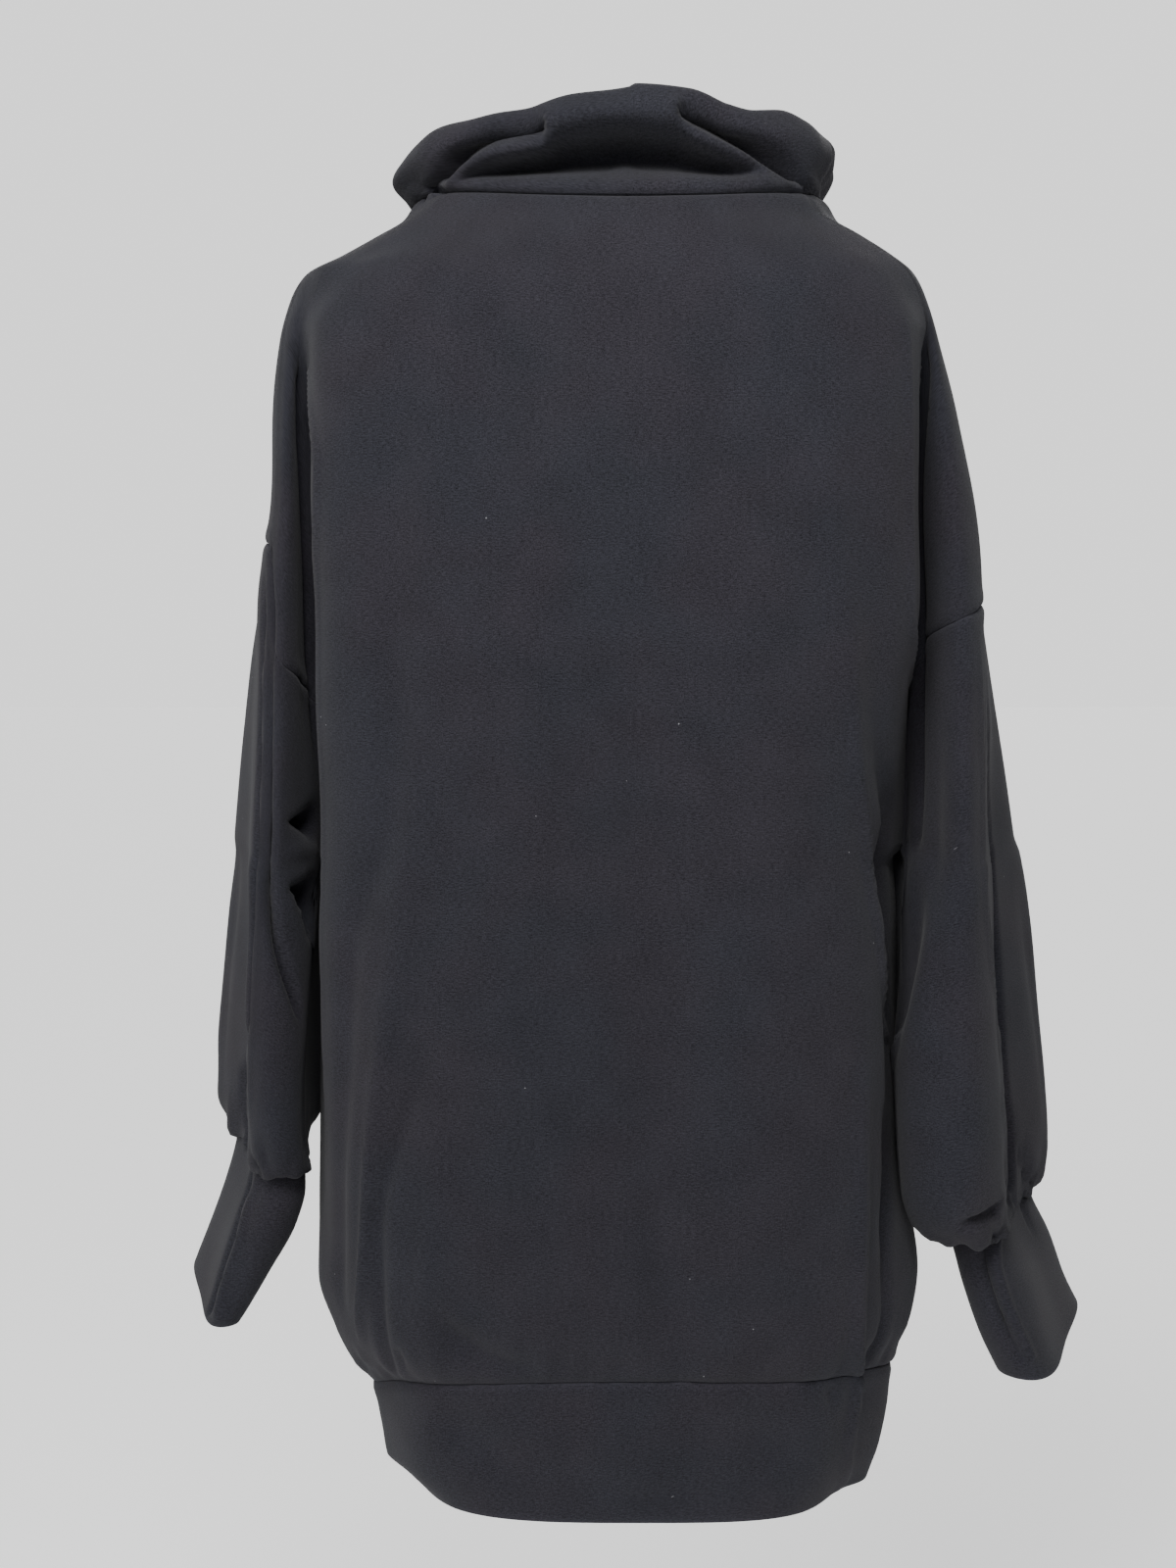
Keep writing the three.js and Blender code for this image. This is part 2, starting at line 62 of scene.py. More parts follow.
# How far below the neck each armhole seam is, at shares of the way from the top of the arm to the creases.
armholeShares = np.array([0, 0.25, 0.35, 0.45, 0.625, 0.75, 0.875, 1])
armholes = {
    "left": np.array([228.0, 229, 234, 303, 320, 331, 352, 440]),
    "right": np.array([271.0, 272, 276, 279, 287, 295, 314, 440]),
}

# The neck seam's height at centre back, at its highest, a little behind the sides, and at centre front,
# fading out at the shoulders.
neckSeam = {"back": -5, "top": 6.5, "front": -32, "topAt": 7.2, "fade": 110}


def table(columns, rows):
    # The rows' numbers as one array for each named column.
    return dict(zip(columns.split(), np.array(rows, float).T))


# Sections of the yoke by depth: the panels' centres, the corners where they turn in, the crease between
# body and sleeve, the two sides of the sleeve, and its outermost line. Open widens the crease, dent presses
# the outermost line in, round softens the shoulder, and splay leans the sleeve forwards.
yoke = table(
    "depth back front cornerY valleyY lobeY open dent round "
    "leftCorner leftValley leftOut leftSplay rightCorner rightValley rightOut rightSplay",
    [
        (0, 92, 92, 80, 56, 30, 0.5, 0, 1, 92, 126, 148, 0, 86, 118, 138, 0),
        (14, 100, 103, 85, 60, 34, 0.5, 0, 1, 104, 138, 159, 0, 96, 126, 147, 0),
        (26, 106, 111, 88, 62, 38, 0.49, 0, 1, 122, 159, 180, 0, 113, 147, 168, 0),
        (38, 111, 117, 91, 65, 42, 0.47, 0, 1, 144, 182, 203, 0, 134, 167, 188, 0),
        (50, 115, 122, 94, 66, 46, 0.45, 0, 1, 170, 206, 227, 0, 154, 184, 200, 0),
        (64, 118, 126, 95, 63, 50, 0.43, 0, 0.9, 184, 211, 236, 0, 167, 193, 205, 0),
        (90, 121, 131, 96, 58, 56, 0.4, 0, 0.6, 202, 218, 243, 0, 184, 199, 214, 0),
        (140, 126, 139, 94, 42, 66, 0.28, 0, 0.2, 211, 215, 248, 0, 190, 196, 230, 0),
        (200, 129, 146, 92, 30, 74, 0.25, 1, 0, 213, 213, 252, 1, 193, 196, 242, 1),
        (270, 131, 150, 90, 20, 83, 0.23, 5, 0, 212, 211, 265, 6, 195, 197, 255, 6),
        (350, 132, 152, 88, 13, 91, 0.22, 12, 0, 212, 211, 276, 15, 181, 197, 268, 16),
        (440, 133, 152, 86, 6, 99, 0.2, 20, 0, 212, 212, 287, 20, 166, 197, 279, 27),
    ],
)

# Sections of the body from the underarm down through the hem band. A drop lowers a side, where the body
# hangs over the band.
body = table(
    "depth back front cornerY sideY leftCorner leftSide rightCorner rightSide leftDrop rightDrop",
    [
        (440, 133, 152, 86, 6, 212, 212, 166, 197, 0, 0),
        (452, 133, 152, 86, 8, 211, 206, 166, 190, 0, 0),
        (500, 134, 152, 88, 20, 210, 215, 173, 192, 0, 0),
        (570, 135, 152, 91, 16, 207, 219, 176, 193, 0, 0),
        (640, 136, 152, 93, 18, 202, 221, 174, 196, 0, 0),
        (705, 137, 152, 95, 26, 194, 222, 172, 205, 0, 0),
        (745, 136, 150, 94, 42, 188, 222, 168, 209, 4, 2),
        (770, 133, 146, 90, 44, 180, 211, 166, 205, 16, 10),
        (784, 129, 141, 84, 41, 170, 198, 162, 196, 31, 20),
        (792, 125, 136, 80, 40, 160, 184, 160, 191, 42, 26),
        (826, 126, 136, 80, 42, 160, 178, 158, 188, 34, 21),
        (858, 126, 136, 78, 42, 156, 174, 152, 183, 26, 17),
        (889, 127, 134, 68, 40, 144, 165, 144, 174, -4, 12),
    ],
)
hemSeamDepth, hemDepth = 792, 889

# Sections of the sleeves and cuffs by length: a fold nearer the back and one nearer the front, and the
# groove between them on the outside. Press hollows the inner side, and tuck draws its ends together below
# the underarm.
sleeveColumns = "along nearZ farZ nearX nearY nearR farX farY farR groove press tuck"
sleeves = {
    "left": table(
        sleeveColumns,
        [
            (455, -455, -455, 240, 60, 22, 268, -62, 28, 18, 0, 30),
            (500, -500, -500, 243, 62, 21, 274, -66, 29, 24, 8, 14),
            (560, -560, -560, 246, 64, 20, 281, -68, 30, 28, 13, 4),
            (610, -610, -610, 247, 64, 19, 286, -70, 30, 30, 15, 0),
            (640, -640, -637, 247, 62, 19, 287, -70, 29, 28, 14, 0),
            (660, -657, -652, 246, 57, 19, 285, -66, 25, 22, 9, 0),
            (675, -667, -661, 244, 50, 19, 281, -60, 20, 12, 3, 0),
            (690, -663, -656, 246, 44, 15, 281, -56, 10, 5, 0, 0),
            (710, -682, -674, 247, 44, 17, 283, -53, 11, 3, 0, 0),
            (735, -706, -698, 254, 45, 18, 287, -52, 14, 3, 0, 0),
            (773, -743, -733, 271, 46, 14, 297, -53, 17, 3, 0, 0),
            (812, -779, -768, 288, 47, 10, 312, -55, 16, 2, 0, 0),
        ],
    ),
    "right": table(
        sleeveColumns,
        [
            (455, -455, -455, 222, 60, 23, 271, -60, 29, 16, 9.5, 34),
            (505, -505, -505, 220, 62, 28, 280, -60, 31, 25, 14.5, 16),
            (570, -570, -570, 220, 66, 33, 287, -62, 33, 28, 18, 5),
            (635, -635, -635, 224, 67, 35, 293, -64, 34, 30, 19, 0),
            (680, -680, -680, 226, 65, 34, 296, -66, 34, 28, 15, 0),
            (704, -702, -700, 231, 60, 31, 295, -66, 29, 20, 10, 0),
            (722, -713, -711, 240, 53, 25, 293, -62, 22, 12, 4, 0),
            (736, -708, -706, 245, 46, 18, 290, -58, 15, 5, 0, 0),
            (754, -727, -723, 251, 46, 17, 296, -56, 17, 3, 0, 0),
            (778, -750, -744, 259, 46, 19, 304, -57, 20, 4, 0, 0),
            (815, -786, -779, 272, 44, 20, 316, -60, 21, 4, 0, 0),
            (853, -816, -802, 286, 42, 19, 329, -63, 20, 3, 0, 0),
        ],
    ),
}
cuffSeam = {"left": 690, "right": 736}
cuffMouth = {"left": 812, "right": 853}

# Profiles of the collar by station round the neck seam, each a list of places out from the seam and up. Its
# hollow and dimples are folds.
collarSteps = 7
collar = table(
    "station lowOut lowUp middleOut middleUp flopOut flopUp rollOut rollUp crestOut crestUp lipOut lipUp",
    [
        (0, 3, 10, 4, 30, 6, 50, 2, 62, -9, 69, -34, 62),
        (1, 3, 9, 4, 28, 6, 47, 2, 57, -8, 63, -32, 57),
        (2, 3, 8, 4, 24, 6, 40, 2, 49, -8, 54.5, -30, 49),
        (3, 3, 7, 4, 21, 7, 36, 3, 46, -8, 51, -30, 47),
        (4, 3, 5, 5, 17, 9, 31, 4, 41, -7, 46.5, -28, 43),
        (5, 3, 4, 6, 14, 11, 27, 6, 37, -6, 43, -26, 40),
        (6, 3, 3, 7, 11, 13, 23, 7, 34, -5, 40, -26, 38),
        (7, 3, 2, 8, 9, 15, 19, 9, 30, -4, 37, -26, 36),
        (8, 3, 2, 9, 8, 16, 16, 10, 26, -3, 34, -27, 36),
        (9, 1, 2, 7, 8, 16, 17, 10, 28, -3, 38, -28, 38),
        (11, 6, 4, 14, 16, 20, 30, 12, 44, 0, 51, -26, 50),
        (13, 8, 6, 17, 20, 22, 40, 14, 56, 2, 66, -26, 63),
        (18, 14, 10, 30, 28, 32, 48, 24, 70, 10, 86, -22, 82),
        (23, 8, 6, 17, 20, 22, 42, 14, 58, 2, 68, -26, 65),
        (25, 0, 4, 6, 15, 16, 34, 9, 47, 0, 55, -27, 54),
        (27, -5, 2, -6, 9, 4, 26, 5, 36, -4, 45, -28, 43),
        (28, -4, 2, -4, 9, 4, 25, 5, 35, -5, 41, -28, 41),
        (29, 0, 3, 1, 10, 8, 27, 5, 36, -5, 42, -27, 41),
        (30, 1, 3, 2, 11, 8, 27, 5, 37, -5, 43.7, -26, 42),
        (31, 2, 4, 3, 13, 8, 30, 5, 40, -5, 47, -26, 44),
        (32, 3, 6, 4, 18, 8, 35, 4, 45, -6, 52, -28, 48),
        (33, 3, 7, 4, 21, 6, 36, 2, 45, -7, 51.5, -29, 48),
        (34, 3, 8, 4, 24, 6, 41, 2, 50, -8, 56.5, -30, 52),
        (35, 3, 10, 4, 29, 6, 49, 2, 60, -8, 67, -33, 61),
        (35.9, 3, 10, 4, 30, 6, 50, 2, 63, -9, 71, -34, 63),
    ],
)

yokeCount, bodyCount, sleeveCount = 36, 28, 12  # stations round each ring
creaseAt, yokeSide, bodySide = 5, 9, 7
underarmDepth = yoke["depth"][-1]
sleeveStart = {"left": creaseAt, "right": 2 * yokeSide + creaseAt}
sleeveOutside = 2 * (yokeSide - creaseAt)
bridgeEnd = {"left": creaseAt + sleeveCount, "right": 2 * bodySide + creaseAt + sleeveCount}


def onLoop(rings, at):
    # Places at stations on closed uniform cubic B-splines, one for each ring: four neighbouring corners
    # weighted by the basis (1-t)^3, 3t^3-6t^2+4, -3t^3+3t^2+3t+1 and t^3, over 6.
    start = np.floor(at)
    t = (at - start)[None, :, None]
    start = start.astype(int)
    weights = [(1 - t) ** 3, 3 * t**3 - 6 * t**2 + 4, -3 * t**3 + 3 * t**2 + 3 * t + 1, t**3]
    return sum(w * rings[:, (start + k - 1) % rings.shape[1]] for k, w in enumerate(weights)) / 6


def between(knots, places, at, pinned=-1):
    # Smooth places between rings of knots with no overshoot: cubic Hermite spans whose slope at a knot is
    # the harmonic mean of the rises beside it. At the pinned knot it keeps the slope of the span above.
    rise = np.diff(places, axis=0) / np.diff(knots)[:, None, None]
    slope = np.empty_like(places)
    slope[0], slope[-1] = rise[0], rise[-1]
    product = rise[:-1] * rise[1:]
    mean = 2 * product / np.where(product > 0, rise[:-1] + rise[1:], 1)
    slope[1:-1] = np.where(product > 0, mean, 0)
    if pinned > 0:
        slope[pinned] = rise[pinned - 1]
    i = np.clip(np.searchsorted(knots, at, side="right") - 1, 0, len(knots) - 2)
    span = (knots[i + 1] - knots[i])[:, None]
    t = (at - knots[i])[:, None] / span
    own = np.arange(len(at))
    return (
        places[i, own] * (1 + 2 * t) * (1 - t) ** 2
        + slope[i, own] * span * t * (1 - t) ** 2
        + places[i + 1, own] * t * t * (3 - 2 * t)
        + slope[i + 1, own] * span * t * t * (t - 1)
    )


def joinHalves(left, right):
    # One closed ring of corners from centre back by the left, the front and the right.
    return np.stack(left + right[-2:0:-1], axis=1)


def panelQuarter(rows, middle, corner, soften=0):
    # Corners of a panel from its centre to where it turns in at its side.
    x = (0.86 - 0.1 * soften) * corner
    y = rows["cornerY"] + (0.72 - 0.12 * soften) * (middle - rows["cornerY"])
    return [(0 * corner, middle), (0.5 * corner, middle), (x, y), (corner, rows["cornerY"])]


def towards(p, q, share):
    return tuple(a + (b - a) * share for a, b in zip(p, q))


def signed(pairs, acrossSign, depthSign=1):
    return [np.stack([acrossSign * x, depthSign * y], axis=-1) for x, y in pairs]


def yokeHalf(corner, valley, out, splay, sign):
    # Corners of half a yoke ring: back panel, crease, the sleeve's two sides, crease, front panel.
    def quarter(middle, edge):
        panel = panelQuarter(yoke, middle, corner, yoke["round"])
        crease, lobe = (valley, yoke["valleyY"]), ((valley + edge) / 2, yoke["lobeY"])
        bottom = [towards(crease, panel[3], yoke["open"]), crease, towards(crease, lobe, yoke["open"])]
        return panel + bottom + [lobe, (edge - 3, 0.55 * yoke["lobeY"])]

    back = signed(quarter(yoke["back"], out - splay), sign)
    front = signed(quarter(yoke["front"], out + splay), sign, -1)
    return back + signed([(out - yoke["dent"], 0 * out)], sign) + front[::-1]


def bodyHalf(corner, side, sign):
    # Corners of half a body ring: back panel, the flat of the side, front panel.
    def quarter(middle):
        panel, edge = panelQuarter(body, middle, corner), (side - 2, body["sideY"])
        return panel + [towards(edge, panel[3], 0.5), edge, (side, 0.5 * body["sideY"])]

    back, front = signed(quarter(body["back"]), sign), signed(quarter(body["front"]), sign, -1)
    return back + signed([(side, 0 * side)], sign) + front[::-1]


def sleeveRing(rows, side):
    # Corners of the sleeve's rings: over the outside from one crease to the other, back along the inside.
    # Each is a fold's centre and so many of its radii across and back.
    def fold(name, x, y):
        radius = rows[name + "R"]
        return rows[name + "X"] + x * radius, rows[name + "Y"] + y * radius, rows[name + "Z"]

    def near(x, y):
        return fold("near", x, y)

    def far(x, y):
        return fold("far", x, y)

    def tucked(corner, back, inwards):
        return corner[0] - inwards * rows["tuck"], corner[1] - back * rows["tuck"], corner[2]

    groove = towards(near(1.1, -0.6), far(1.1, 0.7), 0.42)
    back, front = tucked(near(-1.05, -0.5), 1, 0), tucked(far(-1.05, 0.5), -0.8, 0.85)
    outside = [back, tucked(near(-1.05, 0.5), 0.8, 0), near(0.1, 1.35), near(1.2, 0.2)]
    outside += [(groove[0] - rows["groove"], groove[1], groove[2])]
    outside += [far(1.25, 0.1), far(0.2, -1.3), tucked(far(-1.05, -0.5), -0.6, 0.6), front]
    inside = []
    for share, pressed in ((0.25, 2.2), (0.5, 1), (0.75, 0.25)):
        x, y, z = towards(front, back, share)
        inside.append((x - pressed * rows["press"], y, z))
    ring = outside + inside if side == "left" else outside[::-1] + inside[::-1]
    places = np.stack([np.stack(corner, axis=-1) for corner in ring], axis=1)
    return places * np.array([1 if side == "left" else -1, 1, 1])


yokeRings = joinHalves(
    yokeHalf(yoke["leftCorner"], yoke["leftValley"], yoke["leftOut"], yoke["leftSplay"], 1),
    yokeHalf(yoke["rightCorner"], yoke["rightValley"], yoke["rightOut"], yoke["rightSplay"], -1),
)
bodyRings = joinHalves(
    bodyHalf(body["leftCorner"], body["leftSide"], 1),
    bodyHalf(body["rightCorner"], body["rightSide"], -1),
)
sleeveRings = {side: sleeveRing(rows, side) for side, rows in sleeves.items()}


def neckHeight(station):
    # Height of the neck seam: a quarter sine squared up to its highest, another down to centre front.
    around = np.minimum(station % yokeCount, -station % yokeCount)
    top = neckSeam["topAt"]
    rise = np.sin(pi / 2 * np.minimum(around / top, 1)) ** 2
    fall = np.sin(pi / 2 * np.maximum((around - top) / (yokeCount / 2 - top), 0)) ** 2
    height = neckSeam["back"] + (neckSeam["top"] - neckSeam["back"]) * rise
    return height + (neckSeam["front"] - neckSeam["top"]) * fall


def yokePoint(station, depth):
    # The yoke's surface: rings between its sections, at a height that follows the neck seam near the neck.
    across = between(yoke["depth"], onLoop(yokeRings, station), depth)
    fade = np.maximum(0, 1 - depth / neckSeam["fade"]) ** 2
    return np.column_stack([across, neckHeight(station) * fade - depth])


def yokeStationAbove(station):
    # The yoke's station above a body station, and whether there is one: under the arm there is none.
    station = station % bodyCount
    back, front = station <= creaseAt, np.abs(station - bodyCount / 2) <= creaseAt
    end = station >= bodyCount - creaseAt
    above = station + np.where(back, 0, np.where(front, 1, 2)) * (yokeCount - bodyCount) / 2
    return above, back | front | end


def bodyPoint(station, depth):
    # The body's surface: rings between its sections, the sides lowered by their drop. Below the panels it
    # goes on from the yoke's slope.
    places = onLoop(bodyRings, station)
    above, joined = yokeStationAbove(station)
    upper = onLoop(yokeRings[-2:], above)
    free = between(body["depth"], places, depth)
    knots = np.concatenate([yoke["depth"][-2:], body["depth"][1:]])
    held = between(knots, np.concatenate([upper, places[1:]]), depth, 1)
    left = station % bodyCount < bodyCount / 2
    drop = np.where(
        left,
        np.interp(depth, body["depth"], body["leftDrop"]),
        np.interp(depth, body["depth"], body["rightDrop"]),
    )
    toSide = np.sin(pi * station / (2 * bodySide)) ** 2
    return np.column_stack([np.where(joined[:, None], held, free), -depth - toSide * drop])


def sleevePoint(side, station, along):
    # The sleeve's surface: it goes on from the yoke outside and from the underarm seam inside, then through
    # its own sections to the cuff.
    rows = sleeves[side]
    knots = np.concatenate([[underarmDepth], rows["along"]])
    places = onLoop(sleeveRings[side], station)
    bridge = bodyPoint(bridgeEnd[side] - station, np.full_like(station, underarmDepth))
    inside = between(knots, np.concatenate([bridge[None], places]), along)
    yokeStation = sleeveStart[side] + station % sleeveCount
    upper = np.stack([yokePoint(yokeStation, np.full_like(station, d)) for d in yoke["depth"][-2:]])
    outside = between(
        np.concatenate([[yoke["depth"][-2]], knots]), np.concatenate([upper, places]), along, 1
    )
    outside = np.where((along <= underarmDepth)[:, None], yokePoint(yokeStation, along), outside)
    isInside = (station > sleeveOutside) & (station < sleeveCount)
    return np.where(isInside[:, None], inside, outside)


def armholeDepth(station):
    # Depth of the armhole seam, which is the underarm's depth beyond the creases.
    station = station % yokeCount
    left = station < yokeCount / 2
    away = np.abs(station - np.where(left, yokeSide, 3 * yokeSide)) / (yokeSide - creaseAt)
    away = np.minimum(away, 1)
    stops = [np.repeat(armholes[side][:, None, None], len(away), axis=1) for side in ("left", "right")]
    leftDepth, rightDepth = (between(armholeShares, depths, away)[:, 0] for depths in stops)
    return np.where(left, leftDepth, rightDepth)


def collarPoint(station, step):
    # The collar's surface: profiles round the neck seam, each carried out from the seam and up.
    seam = yokePoint(station, np.zeros_like(station))
    columns = [collar[name] for name in collar if name != "station"]
    outs = np.stack([0 * columns[0]] + columns[0::2], axis=1)
    ups = np.stack([0 * columns[0]] + columns[1::2], axis=1)
    stations = np.concatenate([[collar["station"][-1] - yokeCount], collar["station"], [yokeCount]])
    order = [-1] + list(range(len(collar["station"]))) + [0]
    profile = np.stack([outs, ups], axis=-1)[order]
    count = len(station)
    around = np.stack(
        [
            between(stations, np.repeat(profile[:, k][:, None], count, axis=1), station % yokeCount)
            for k in range(collarSteps)
        ]
    )
    out, up = between(np.arange(collarSteps, dtype=float), around, step).T
    radius = np.hypot(seam[:, 0], seam[:, 1])
    return np.column_stack([seam[:, :2] * (1 + out / radius)[:, None], seam[:, 2] + up])


